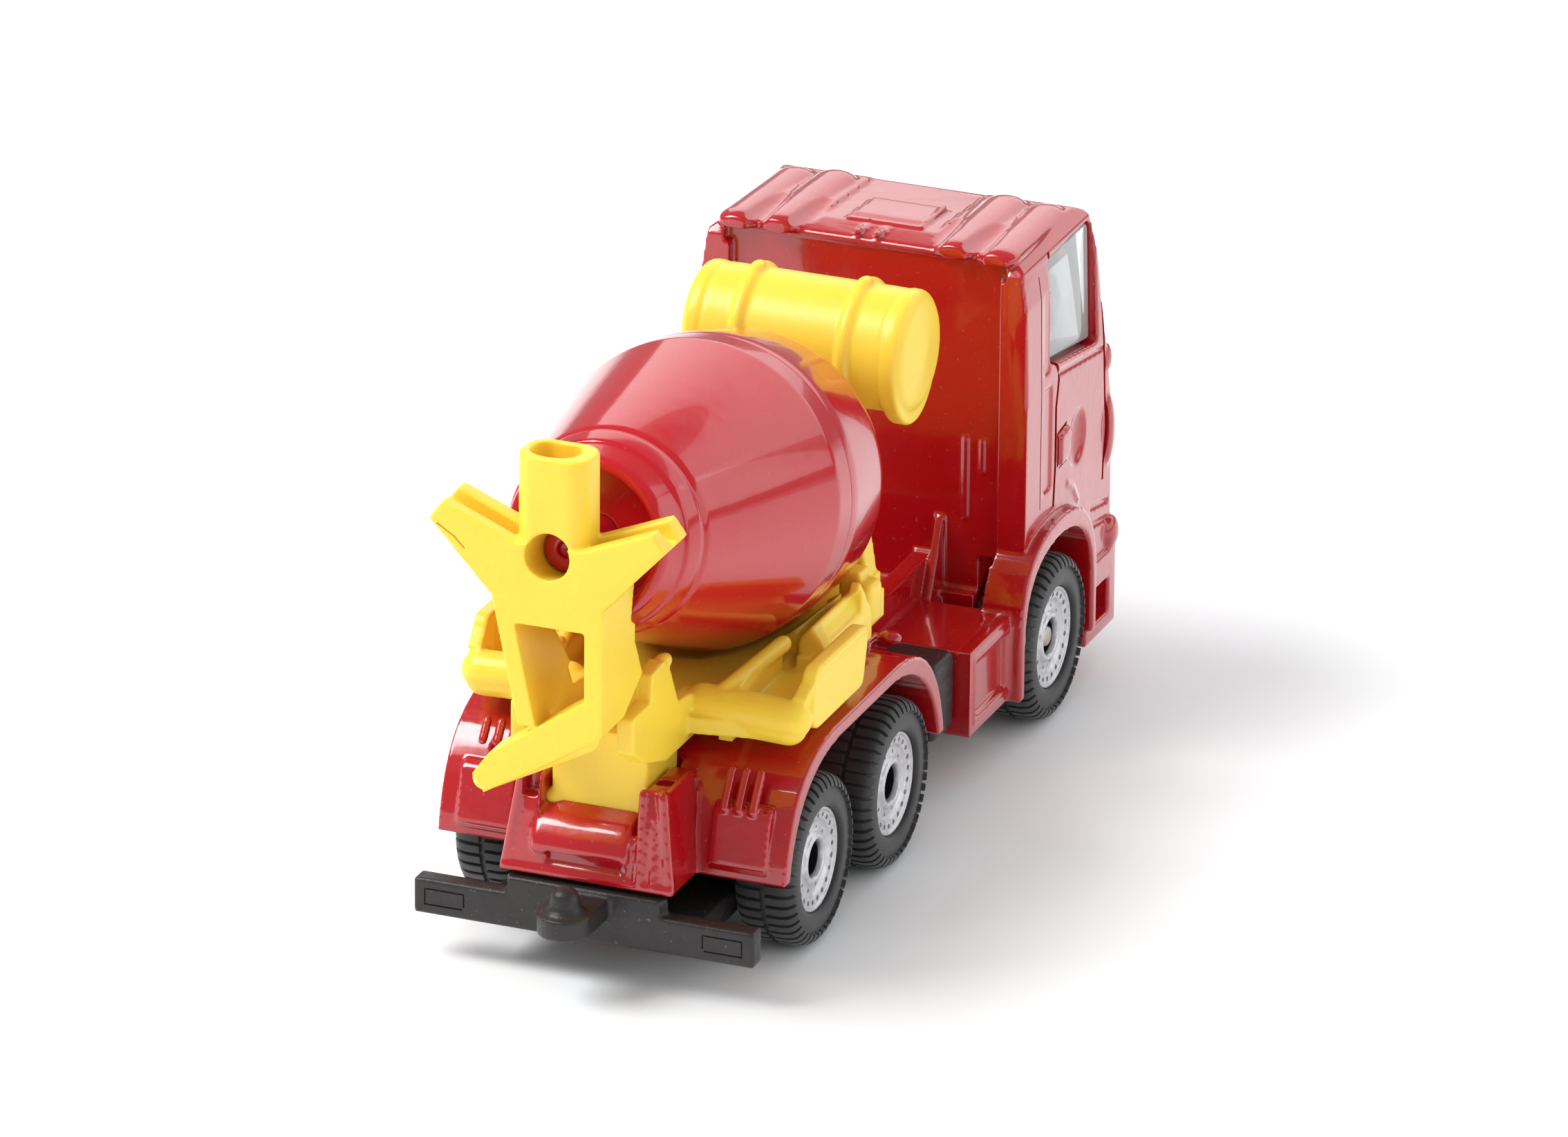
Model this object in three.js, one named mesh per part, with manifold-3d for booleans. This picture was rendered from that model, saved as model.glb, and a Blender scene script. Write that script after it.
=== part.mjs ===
// Toy cement mixer truck: a die-cast cab and bed on a plastic base, three axles, and a plastic
// superstructure that carries a turning drum, a water tank, a hopper and a discharge chute.
// Millimetres, +X forward, +Y to the left, +Z up. X is counted from the rear axle, and the whole
// group is moved at the end so that the origin is under the middle of the truck, on the ground.
import * as THREE from "three";
import { mergeVertices } from "three/addons/utils/BufferGeometryUtils.js";
import Module from "manifold-3d";

const wasm = await Module();
wasm.setup();

// ---------------------------------------------------------------- driving dimensions

// Fits
const seat = 0.05; // gap between two pieces that rest on each other
const insertGap = 0.3; // gap round a piece that is shaped by the one that holds it
const axleRunning = 0.08; // radial clearance of an axle in its bearings
const journalRunning = 0.08; // radial clearance of a drum journal in its bearing
const drumGap = 0.6; // clearance round the turning drum
const wheelGap = 0.45; // clearance between a tyre and the base beside it

// Wheels and axles
const tyreRadius = 6.4;
const tyreWidth = 4.3;
const tyreShoulder = 0.9; // chamfer between the tread and a side wall
const tyreBead = 0.4; // how far a tyre's side wall stands past the face of its disc
const rimRadius = 3.9; // outer radius of the wheel disc, which the tyre is stretched over
const rimWidth = 3.5;
const hubRadius = 1.3; // recess round the end of the axle
const hubDepth = 0.9;
const axleRadius = 0.8;
const rearAxleRecess = 0.7; // ends of the two rear axles behind the faces of their discs
const frontAxleRecess = 0.2;
const bogieGap = 2.15; // between the rear tyres and the middle tyres
const wheelbase = 45.4; // front axle ahead of the rear axle
const rearTrackHalf = 10.85; // middle of a rear tyre from the middle plane
const frontTrackHalf = 11.6;

// Black base
const baseBottom = 3.0;
const baseThickness = 2.0;
const bearingHalf = 2.6; // half the length of an axle bearing block
const bearingRoof = 1.1; // material over an axle
const bearingWidth = 2.2;
const bumperRear = -13.4;
const bumperDepth = 1.6;
const bumperHalf = 13.1;
const bumperBottom = 3.35;
const bumperHeight = 2.65;
const bumperRiseHalf = 5.9; // half width of the raised middle of the bumper
const hitchReach = 5.3; // tongue of the hitch behind the bumper
const hitchHalf = 2.0;
const hitchThickness = 1.6;
const hitchTop = 6.9;
const hitchPinRadius = 1.2;
const hitchPinHeight = 1.9;
const sideTankLength = 2.8; // black tank behind a locker
const sideTankHalf = 11.1;
const sideTankBottom = 6.0;

// Rivets that hold the base to the casting
const rivetRear = -5.2;
const rivetFront = 31.5;
const rivetRadius = 1.5;
const rivetHeadRadius = 2.3;
const rivetHeadDepth = 0.6;
const rivetSink = 0.2; // a head's face above the underside of the base

// Die-cast cab
const wall = 1.2;
const cabSetback = 5.2; // rear edges of the cab behind the front axle
const cabLength = 18.2;
const cabHalfWidth = 13.05;
const cabBottom = 8.2;
const cabTop = 38.5;
const rearWallInset = 1.0; // rear wall ahead of the rear edges of the sides and roof
const pillarWidth = 2.3; // corner pillars on both sides of the rear wall
const noseHeight = 19.9; // where the front face starts to lean back
const beltHeight = 26.4; // lower edge of the glass
const beltSetback = 1.6; // front face behind the cab's front at the belt
const roofRake = 4.2; // front edge of the roof behind the cab's front
const windowTop = 36.2;
const windowSetback = 5.0; // from the cab's rear and from its front to a side window
const screenPillar = 2.2;
const apronDepth = 4.1;
const apronProud = 0.9;
const apronBottom = 4.6;
const apronTop = 10.2;
const stepBottom = 2.8;
const stepProud = 0.4;

// Front wheel arches
const archGap = 0.6; // ahead of and behind a front tyre
const archRise = 1.8; // above a front tyre
const archWall = 1.0;
const archCrown = 1.5; // thickness of the flange at its top
const archFoot = 4.2; // lower ends of the flange
const archProud = 0.9; // flange past the side of the cab

// Bed: rear mudguards, tail, chassis and lockers
const bedRise = 3.5; // flat top of the mudguards above the tyres
const bedHalfWidth = 13.45;
const guardWall = 1.1;
const guardReach = 1.9; // rear end of a mudguard behind the rear tyre
const guardFront = 1.7; // front end ahead of the middle tyre
const tailBottom = 7.6;
const tailRear = -13.0;
const tailHalf = 6.7;
const tailTopHalf = 5.6;
const tailDrop = 1.5; // top of the tail below the top of the bed
const railTop = 13.6;
const railHalf = 5.4;
const railWidth = 1.5;
const boxLength = 8.6; // locker behind a front wheel
const boxBottom = 4.3;
const boxTop = 11.0;
const boxHalf = 12.9;
const boxPanelInset = 1.3;
const boxPanelDepth = 0.35;

// Drum; a reach is counted along its axis from the widest circle, towards the mouth
const drumTilt = THREE.MathUtils.degToRad(11); // the mouth end is the higher one
const drumX = 9.0; // middle of the widest circle
const drumLift = 13.3; // height of that middle over the bed
const drumRadius = 11.4;
const drumWall = 1.0;
const beltReach = 2.3; // rear edge of the widest band
const neckRadius = 7.4;
const neckReach = 18.3;
const mouthRadius = 5.9;
const mouthReach = 22.6;
const webReach = 19.2; // inner face of the disc that closes the mouth
const shoulderRadius = 10.6; // where the front cone meets the front dome
const shoulderReach = 8.8;
const domeRadius = 5.0;
const domeReach = 13.4;
const frontJournalRadius = 1.2;
const rearJournalRadius = 1.6;
const rearJournalReach = 26.4;

// Drum cradle
const cradleFloor = 1.3;
const cradleLift = 0.7; // underside of the floor over the bed, on the feet of the inner walls
const cradleWall = 1.1;
const cradleWallRise = 3.4; // tops of the walls over the bed
const cradleRear = -3.7;
const cradlePanelLength = 11.7;
const cradlePanelFoot = 12.5; // lower edge of a side panel from the middle plane
const cradlePanelHead = 13.4; // upper edge, flared out
const cradlePanelBottom = 0.9; // edges of a side panel over the bed
const cradlePanelTop = 5.5;
const cradleInner = 6.6;
const noseLength = 12.5; // of the narrower part of the cradle ahead of the side panels
const noseHalf = 9.6;
const nosePeakRise = 6.2;
const pedestalHalf = 3.65;
const pedestalLength = 5.8;
const pedestalOverhang = 2.1; // behind the rear end of the mudguards
const pedestalDepth = 4.7;
const hornHalf = 4.7;
const hornWidth = 1.3;
const hornPeakRise = 7.9;
const uprightThickness = 2.0;
const uprightFootHalf = 7.4;
const uprightHeadHalf = 3.4;

// Rear tower; heights are counted from the drum's axis at its rear face
const towerOverhang = 7.0; // rear face behind the drum's mouth
const towerPlate = 1.3;
const towerDepth = 4.2;
const armReach = 8.95; // tip of an arm of the Y from the middle plane
const armTip = 1.65;
const armHead = 3.0;
const armNotch = 0.75;
const legHead = -3.45;
const legWidth = 1.35;
const legHalf = 4.2; // outer face of the right leg, and of the left one at its top
const leftLegLean = 2.0; // how far the left leg leans in towards its foot
const legFootRise = 5.95; // feet of the legs over the bed
const windowHead = -5.35; // top of the window between the legs
const hopperInset = 0.5; // rear of the hopper tube ahead of the rear face
const hopperWidth = 5.2;
const hopperDepth = 3.8;
const hopperHead = 7.15;
const hopperFloor = 2.6;
const hopperWall = 0.55;
const hopperCorner = 1.6;
const chuteReach = 5.7; // tip of the chute from the middle plane, on the left
const chuteDepth = 2.6;
const chuteDrop = 5.6; // tip of the chute below the feet of the legs

// Water tank
const tankSetback = 10.6; // middle of the tank behind the cab
const tankZ = 34.05;
const tankRadius = 4.6;
const tankHalf = 8.7;
const tankDish = 0.45; // how far the ends bulge
const bandRise = 0.4;
const bandWidth = 0.9;
const bandPlace = 4.2; // middle of a band from the middle plane
const endPlateWidth = 1.4;
const endPlateDrop = 0.9; // how far an end plate hangs below the barrel

// Cab interior
const tubThickness = 1.0;
const seatHalf = 2.7;
const seatLength = 5.4;
const seatHeight = 3.4;
const seatBack = 10.4;
const headrestHalf = 1.4;
const headrestTop = 12.6;
const dashLength = 3.2;
const steeringRadius = 2.3;

// ---------------------------------------------------------------- solids

const fine = 36; // sides of a turned wheel
const coarse = 24; // sides of a bore or a pin

// Radius of a polygon whose flats touch a circle, so that a bore is nowhere tighter than it says.
const around = (radius, sides) => radius / Math.cos(Math.PI / sides);

// A three.js geometry as a manifold solid.
function solid(geometry) {
  const bare = geometry.clone();
  bare.deleteAttribute("normal");
  bare.deleteAttribute("uv");
  const merged = mergeVertices(bare, 1e-5);
  const mesh = new wasm.Mesh({
    numProp: 3,
    vertProperties: merged.attributes.position.array,
    triVerts: new Uint32Array(merged.index.array),
  });
  return new wasm.Manifold(mesh);
}

function join(...pieces) {
  return pieces.reduce((whole, piece) => whole.add(piece));
}

function cut(stock, ...tools) {
  return tools.reduce((whole, tool) => whole.subtract(tool), stock);
}

// A block between two corners.
function block(x0, x1, y0, y1, z0, z1) {
  const geometry = new THREE.BoxGeometry(x1 - x0, y1 - y0, z1 - z0);
  geometry.translate((x0 + x1) / 2, (y0 + y1) / 2, (z0 + z1) / 2);
  return solid(geometry);
}

// A block across the middle plane.
function wideBlock(x0, x1, half, z0, z1) {
  return block(x0, x1, -half, half, z0, z1);
}

// The same block on both sides of the middle plane: y0 and y1 are distances from it.
function pair(x0, x1, y0, y1, z0, z1) {
  return join(block(x0, x1, y0, y1, z0, z1), block(x0, x1, -y1, -y0, z0, z1));
}

function outline(points) {
  return new THREE.Shape(points.map(([a, b]) => new THREE.Vector2(a, b)));
}

// A closed outline from its right half, mirrored about the vertical axis.
function mirrored(right) {
  const left = right.map(([y, z]) => [-y, z]).reverse();
  return outline([...right, ...left]);
}

function extruded(shape, depth) {
  return new THREE.ExtrudeGeometry(shape, { depth, bevelEnabled: false, curveSegments: 10 });
}

// An outline drawn in X and Z, as seen from the right, with its thickness from y0 to y1.
function sidePlate(shape, y0, y1) {
  return solid(extruded(shape, y1 - y0).rotateX(Math.PI / 2).translate(0, y1, 0));
}

function bothSides(shape, y0, y1) {
  return join(sidePlate(shape, y0, y1), sidePlate(shape, -y1, -y0));
}

// An outline drawn in Y and Z, with its thickness from x0 to x1.
function crossPlate(shape, x0, x1) {
  const geometry = extruded(shape, x1 - x0);
  geometry.rotateX(Math.PI / 2).rotateZ(Math.PI / 2).translate(x0, 0, 0);
  return solid(geometry);
}

// An outline drawn in X and Y, with its thickness from z0 to z1.
function floorPlate(shape, z0, z1) {
  return solid(extruded(shape, z1 - z0).translate(0, 0, z0));
}

// A body turned about a line along Y through (x, z); the profile holds [radius, y].
function turnedY(profile, x, z, sides = fine) {
  const points = profile.map(([r, y]) => new THREE.Vector2(r, y));
  return solid(new THREE.LatheGeometry(points, sides).translate(x, 0, z));
}

function rodY(x, z, radius, half) {
  return turnedY([[0, -half], [radius, -half], [radius, half], [0, half]], x, z, coarse);
}

// A body turned about an upright line through (x, 0); the profile holds [radius, z].
function turnedZ(profile, x) {
  const points = profile.map(([r, z]) => new THREE.Vector2(r, z));
  return solid(new THREE.LatheGeometry(points, coarse).rotateX(Math.PI / 2).translate(x, 0, 0));
}

function rodZ(x, radius, z0, z1) {
  return turnedZ([[0, z0], [radius, z0], [radius, z1], [0, z1]], x);
}

function named(name, body, material) {
  const { vertProperties, triVerts } = body.getMesh();
  const geometry = new THREE.BufferGeometry();
  geometry.setAttribute("position", new THREE.BufferAttribute(vertProperties, 3));
  geometry.setIndex(new THREE.BufferAttribute(triVerts, 1));
  geometry.computeVertexNormals();
  const mesh = new THREE.Mesh(geometry, material());
  mesh.name = name;
  return mesh;
}

// ---------------------------------------------------------------- materials

const finish = (color, roughness, metalness = 0) => () =>
  new THREE.MeshStandardMaterial({ color, roughness, metalness });
const redPaint = finish(0xa80d12, 0.25);
const redPlastic = finish(0xb0101c, 0.2);
const yellowPlastic = finish(0xf5c518, 0.45);
const blackPlastic = finish(0x1b1b1d, 0.55);
const blackRubber = finish(0x202022, 0.8);
const silverPaint = finish(0xd8dadd, 0.35, 0.8);
const steel = finish(0xc9c8c2, 0.3, 1);
const clearPlastic = finish(0xf4f7f8, 0.08);

// ---------------------------------------------------------------- shared places

const bogieSpacing = 2 * tyreRadius + bogieGap;
const wheels = {
  rear: { x: 0, half: rearTrackHalf, recess: rearAxleRecess },
  middle: { x: bogieSpacing, half: rearTrackHalf, recess: rearAxleRecess },
  front: { x: wheelbase, half: frontTrackHalf, recess: frontAxleRecess },
};
const axlePlaces = Object.values(wheels).map(({ x }) => x);
const axleHeight = tyreRadius;
const wellInner = rearTrackHalf - tyreWidth / 2 - wheelGap; // inner side of a rear wheel well
const cabWellInner = frontTrackHalf - tyreWidth / 2 - wheelGap;
const beyond = cabHalfWidth + bedHalfWidth; // a distance that is outside the truck

const baseTop = baseBottom + baseThickness;
const baseHalf = wellInner - insertGap;
const bearingTop = axleHeight + axleRadius + bearingRoof;

const cabRear = wheelbase - cabSetback;
const cabFront = cabRear + cabLength;
const rearWall = cabRear + rearWallInset;
const archTop = 2 * tyreRadius + archRise;
const archHalf = tyreRadius + archGap;
const roomBottom = archTop + archCrown + wall;
const noseInside = cabFront - 2 * wall;

const bedTop = 2 * tyreRadius + bedRise;
const bedRear = -tyreRadius - guardReach;
const bedFront = bogieSpacing + tyreRadius + guardFront;
const tailTop = bedTop - tailDrop;
const boxFront = wheelbase - archHalf - archWall / 4;
const boxRear = boxFront - boxLength;
const tankX = cabRear - tankSetback;

const cradleBottom = bedTop + seat;
const cradleWallTop = bedTop + cradleWallRise;
const cradleWide = cradleRear + cradlePanelLength; // front of the side panels
const cradleFront = cradleWide + noseLength;
const pedestalRear = bedRear - pedestalOverhang;
const pedestalFront = pedestalRear + pedestalLength;
const pedestalBottom = bedTop - pedestalDepth;

// The drum's own frame: its origin at the middle of the widest circle, its Y axis along the drum
// towards the mouth.
const drumFrame = new THREE.Matrix4()
  .makeTranslation(drumX, 0, bedTop + drumLift)
  .multiply(new THREE.Matrix4().makeRotationY(drumTilt))
  .multiply(new THREE.Matrix4().makeRotationZ(Math.PI / 2));
const alongDrum = (reach) => new THREE.Vector3(0, reach, 0).applyMatrix4(drumFrame);

// A body turned about the drum's axis; the profile holds [radius, reach].
function turnedOnDrum(profile, sides = 48) {
  const points = profile.map(([r, s]) => new THREE.Vector2(r, s));
  return solid(new THREE.LatheGeometry(points, sides).applyMatrix4(drumFrame));
}

// A bore for a journal, between two reaches.
function drumBore(radius, from, to) {
  const r = around(radius + journalRunning, coarse);
  return turnedOnDrum([[0, from], [r, from], [r, to], [0, to]], coarse);
}

// The space that the turning drum sweeps, with its clearance all round it.
function drumSweep() {
  const grow = drumGap;
  return turnedOnDrum([
    [0, -domeReach - grow],
    [domeRadius + grow, -domeReach - grow],
    [shoulderRadius + grow, -shoulderReach - grow],
    [drumRadius + grow, -grow],
    [drumRadius + grow, beltReach + grow],
    [neckRadius + grow, neckReach + grow],
    [mouthRadius + grow, mouthReach + grow],
    [0, mouthReach + grow],
  ]);
}

const towerRear = alongDrum(mouthReach).x - towerOverhang;
const towerFront = towerRear + towerDepth;
// Height of the drum's axis at the tower's rear face.
const hubHeight = bedTop + drumLift + (drumX - towerRear) * Math.tan(drumTilt);
const legBottom = bedTop + legFootRise;
const uprightRear = alongDrum(-domeReach).x + domeRadius * Math.sin(drumTilt) + insertGap;
const uprightFront = uprightRear + uprightThickness;

// ---------------------------------------------------------------- wheels and axles

// A profile's y values counted outwards on the left (side 1) or on the right (side -1).
function onSide(profile, side) {
  const placed = profile.map(([r, y]) => [r, side * y]);
  return side > 0 ? placed : placed.reverse();
}

function tyre({ x, half }, side) {
  const inner = half - tyreWidth / 2;
  const outer = half + tyreWidth / 2;
  const bead = rimRadius + tyreBead;
  const profile = [
    [rimRadius, inner + tyreBead],
    [bead, inner],
    [tyreRadius - tyreShoulder, inner],
    [tyreRadius, inner + tyreShoulder],
    [tyreRadius, outer - tyreShoulder],
    [tyreRadius - tyreShoulder, outer],
    [bead, outer],
    [rimRadius, outer - tyreBead],
    [rimRadius, inner + tyreBead],
  ];
  return turnedY(onSide(profile, side), x, axleHeight);
}

function rim({ x, half }, side) {
  const inner = half - rimWidth / 2;
  const outer = half + rimWidth / 2;
  const bore = around(axleRadius + seat, fine);
  const profile = [
    [bore, inner],
    [rimRadius - seat, inner],
    [rimRadius - seat, outer],
    [hubRadius, outer],
    [hubRadius, outer - hubDepth],
    [bore, outer - hubDepth],
    [bore, inner],
  ];
  return turnedY(onSide(profile, side), x, axleHeight);
}

function axle({ x, half, recess }) {
  return rodY(x, axleHeight, axleRadius, half + rimWidth / 2 - recess);
}

// ---------------------------------------------------------------- black base

function base() {
  const floor = wideBlock(bumperRear + bumperDepth / 2, noseInside - wall, baseHalf, baseBottom, baseTop);
  const bearings = axlePlaces.map((x) =>
    pair(x - bearingHalf, x + bearingHalf, baseHalf - bearingWidth, baseHalf, baseBottom, bearingTop),
  );
  const bores = axlePlaces.map((x) => rodY(x, axleHeight, around(axleRadius + axleRunning, coarse), beyond));
  const bumper = wideBlock(bumperRear, bumperRear + bumperDepth, bumperHalf,
    bumperBottom, bumperBottom + bumperHeight);
  const bumperRise = wideBlock(bumperRear, bumperRear + bumperDepth, bumperRiseHalf,
    bumperBottom, tailBottom - insertGap);
  const tankFront = boxRear - insertGap;
  const sideTanks = pair(tankFront - sideTankLength, tankFront, baseHalf - wall, sideTankHalf,
    sideTankBottom, boxTop - insertGap);
  const sideTankWebs = pair(tankFront - sideTankLength, tankFront, baseHalf - wall, baseHalf,
    baseBottom, boxTop - insertGap);
  const rivetHoles = [rivetRear, rivetFront].map((x) => rivetHole(x));
  const hull = join(floor, ...bearings, bumper, bumperRise, sideTanks, sideTankWebs, hitch());
  return cut(hull, ...bores, ...rivetHoles);
}

function hitch() {
  const pinX = bumperRear - hitchReach + hitchHalf;
  const tongueBottom = hitchTop - hitchThickness;
  const pinTop = hitchTop + hitchPinHeight;
  const waist = hitchTop + hitchPinHeight / 3;
  const tongue = wideBlock(pinX, bumperRear + bumperDepth / 2, hitchHalf, tongueBottom, hitchTop);
  const tip = rodZ(pinX, hitchHalf, tongueBottom, hitchTop);
  const pin = turnedZ([
    [0, tongueBottom], [hitchPinRadius, tongueBottom], [0.95 * hitchPinRadius, waist],
    [0.7 * hitchPinRadius, pinTop - 0.3], [0.35 * hitchPinRadius, pinTop], [0, pinTop],
  ], pinX);
  return join(tongue, tip, pin);
}

function rivetHole(x) {
  const through = rodZ(x, rivetRadius + insertGap, 0, baseTop + wall);
  const counterbore = rodZ(x, rivetHeadRadius + insertGap, 0,
    baseBottom + rivetSink + rivetHeadDepth + seat);
  return join(through, counterbore);
}

function rivet(x) {
  const headBottom = baseBottom + rivetSink;
  const head = rodZ(x, rivetHeadRadius, headBottom, headBottom + rivetHeadDepth);
  const post = rodZ(x, rivetRadius, headBottom, tailBottom + wall);
  return join(head, post);
}

// ---------------------------------------------------------------- die-cast cab

// Side view of the cab, drawn inset by a wall and open at the bottom.
function cabProfile(inset) {
  const rear = cabRear + inset;
  const front = cabFront - inset;
  const top = cabTop - inset;
  return outline([
    [rear, inset > 0 ? 0 : cabBottom],
    [front, inset > 0 ? 0 : cabBottom],
    [front, noseHeight],
    [front - beltSetback, beltHeight],
    [front - roofRake, top - 1.3],
    [front - roofRake - 1.6, top - 0.5],
    [rear + 6, top],
    [rear + 0.9, top - 0.8],
    [rear, top - 1.9],
  ]);
}

// End view of the cab, drawn inset by a wall.
function cabSection(inset) {
  const half = cabHalfWidth - inset;
  const top = cabTop - inset;
  return mirrored([
    [half, 0],
    [half, beltHeight],
    [half - 0.15, top - 4.4],
    [half - 0.55, top - 1.6],
    [half - 2.0, top - 0.45],
    [half - 6.0, top],
  ]);
}

function cabBlock(inset) {
  const side = sidePlate(cabProfile(inset), -beyond, beyond);
  const end = crossPlate(cabSection(inset), cabRear - 1, cabFront + 1);
  return side.intersect(end);
}

// The outline of a front wheel arch, grown by the thickness of its flange.
function archShape(growSide, growTop, foot) {
  const half = archHalf + growSide;
  const top = archTop + growTop;
  const knee = axleHeight + tyreRadius / 3;
  const rear = wheelbase - half;
  const front = wheelbase + half;
  const shape = new THREE.Shape();
  shape.moveTo(rear, foot);
  shape.lineTo(front, foot);
  shape.lineTo(front, knee);
  shape.bezierCurveTo(front, top - 1.6, front - 0.45 * half, top, wheelbase, top);
  shape.bezierCurveTo(rear + 0.45 * half, top, rear, top - 1.6, rear, knee);
  return shape;
}

function windowHoles() {
  const rear = cabRear + windowSetback;
  const front = cabFront - windowSetback;
  const sideWindow = outline([
    [rear, beltHeight + 1.8],
    [front + 0.9, beltHeight + 0.2],
    [front, windowTop],
    [rear, windowTop],
  ]);
  const screen = wideBlock(front - 1, cabFront + 1, cabHalfWidth - screenPillar,
    beltHeight + 0.6, windowTop + 0.2);
  return join(bothSides(sideWindow, cabHalfWidth - 2 * wall, beyond), screen);
}

function cab() {
  const room = cabBlock(wall).intersect(
    wideBlock(rearWall + wall, cabFront, beyond, roomBottom, cabTop),
  );
  const lipInner = cabHalfWidth - 2 * wall;
  const lips = bothSides(archShape(archWall, archCrown, archFoot), lipInner, cabHalfWidth + archProud);
  const wells = bothSides(archShape(0, 0, -1), cabWellInner, beyond);
  const apron = wideBlock(cabFront + apronProud - apronDepth, cabFront + apronProud, cabHalfWidth,
    apronBottom, apronTop);
  const stepRear = wheelbase + archHalf;
  const steps = pair(stepRear, cabFront + stepProud, cabHalfWidth - 2 * wall, cabHalfWidth + stepProud,
    stepBottom, apronTop - wall);
  const stepHoles = pair(stepRear + 1.5 * wall, cabFront - wall, cabHalfWidth - wall, beyond,
    stepBottom + wall, stepBottom + 3.3 * wall);
  const rearRecess = wideBlock(cabRear - 1, rearWall, cabHalfWidth - pillarWidth, boxTop, cabTop - 2.2);
  const under = wideBlock(rearWall + wall, noseInside, cabWellInner - wall, 0, roomBottom - wall);
  return cut(join(cabBlock(0), lips, apron, steps), room, wells, stepHoles, windowHoles(), under, rearRecess);
}

// ---------------------------------------------------------------- die-cast bed

// Side view of a rear mudguard over both of its wheels.
function mudguardShape(inset) {
  const rear = bedRear + inset;
  const front = bedFront - inset;
  const top = bedTop - inset;
  const shape = new THREE.Shape();
  shape.moveTo(rear, tailBottom);
  shape.bezierCurveTo(rear + 0.8, top - 3.6, rear + 3.4, top - 0.2, rear + 9.5, top);
  shape.lineTo(front - 9, top);
  shape.bezierCurveTo(front - 3.6, top - 0.3, front - 0.8, top - 3.6, front, tailBottom);
  return shape;
}

function bed() {
  const guards = sidePlate(mudguardShape(0), -bedHalfWidth, bedHalfWidth);
  const wellShape = mudguardShape(guardWall);
  wellShape.lineTo(bedFront - guardWall, 0);
  wellShape.lineTo(bedRear + guardWall, 0);
  const wells = bothSides(wellShape, wellInner, beyond);
  const overlap = 2 * wall;
  const underside = baseTop + insertGap;
  const spine = wideBlock(bedRear, boxRear + overlap, railHalf, tailBottom, bedTop - overlap);
  const rails = pair(bedFront - overlap, rearWall + wall, railHalf - railWidth, railHalf, underside, railTop);
  const deck = wideBlock(bedFront - overlap, cabRear + wall, railHalf + wall, underside, boxTop - wall / 2);
  const lockers = pair(boxRear, boxFront, railHalf, boxHalf, boxBottom, boxTop);
  const panels = pair(boxRear + boxPanelInset, boxFront - boxPanelInset, boxHalf - boxPanelDepth, beyond,
    boxBottom + boxPanelInset, boxTop - boxPanelInset);
  return cut(join(guards, spine, rails, deck, lockers, tail()), wells, panels);
}

function tail() {
  const section = mirrored([[tailHalf, tailBottom], [tailTopHalf, tailTop]]);
  const side = outline([
    [tailRear, tailBottom], [bedRear + 2, tailBottom], [bedRear + 2, tailTop],
    [tailRear + 1.6, tailTop], [tailRear + 0.9, tailTop - 2.6],
  ]);
  return crossPlate(section, tailRear, bedRear + 3).intersect(sidePlate(side, -beyond, beyond));
}

function body() {
  const bearingRooms = axlePlaces.map((x) =>
    wideBlock(x - bearingHalf - insertGap, x + bearingHalf + insertGap, wellInner, 0,
      bearingTop + insertGap),
  );
  const axleRooms = axlePlaces.map((x) => rodY(x, axleHeight, axleRadius + 2 * insertGap, beyond));
  const baseRoom = wideBlock(tailRear - 1, noseInside, wellInner, 0, baseTop + insertGap);
  const pedestalRoom = wideBlock(tailRear - 1, pedestalFront + insertGap, pedestalHalf + insertGap,
    pedestalBottom - insertGap, bedTop + 1);
  const cast = cut(join(bed(), cab()), baseRoom, ...bearingRooms, ...axleRooms, pedestalRoom);
  return join(cast, rivet(rivetRear), rivet(rivetFront));
}

// ---------------------------------------------------------------- glazing and cab interior

function glazing() {
  const outer = cabBlock(wall + insertGap);
  const inner = cabBlock(1.8 * wall + insertGap);
  const zone = wideBlock(cabRear + windowSetback - wall, cabFront, beyond, beltHeight - wall, cabTop);
  return outer.subtract(inner).intersect(zone);
}

function interior() {
  const half = cabHalfWidth - 2.5 * wall;
  const floor = roomBottom + seat;
  const rear = rearWall + wall + insertGap;
  const front = cabFront - 3 * wall;
  const seatY = half / 2;
  const tub = wideBlock(rear, front, half, floor, floor + tubThickness);
  const cushion = pair(rear + 1.2, rear + 1.2 + seatLength, seatY - seatHalf, seatY + seatHalf,
    floor, floor + seatHeight);
  const backs = pair(rear + 0.4, rear + 2.4, seatY - seatHalf, seatY + seatHalf, floor, floor + seatBack);
  const headrests = pair(rear + 0.7, rear + 2.1, seatY - headrestHalf, seatY + headrestHalf,
    floor, floor + headrestTop);
  const dash = wideBlock(front - dashLength, front, half, floor, beltHeight - 1.5 * wall);
  const wheelX = front - dashLength - 1.7;
  const wheelZ = beltHeight - 2.9;
  const column = block(wheelX, front - 1, seatY - 0.5, seatY + 0.5, wheelZ - 1, wheelZ);
  const wheel = solid(new THREE.CylinderGeometry(steeringRadius, steeringRadius, 0.6, coarse)
    .rotateZ(Math.PI / 2 - 0.5).translate(wheelX, seatY, wheelZ));
  return join(tub, cushion, backs, headrests, dash, column, wheel);
}

// ---------------------------------------------------------------- drum cradle

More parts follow.
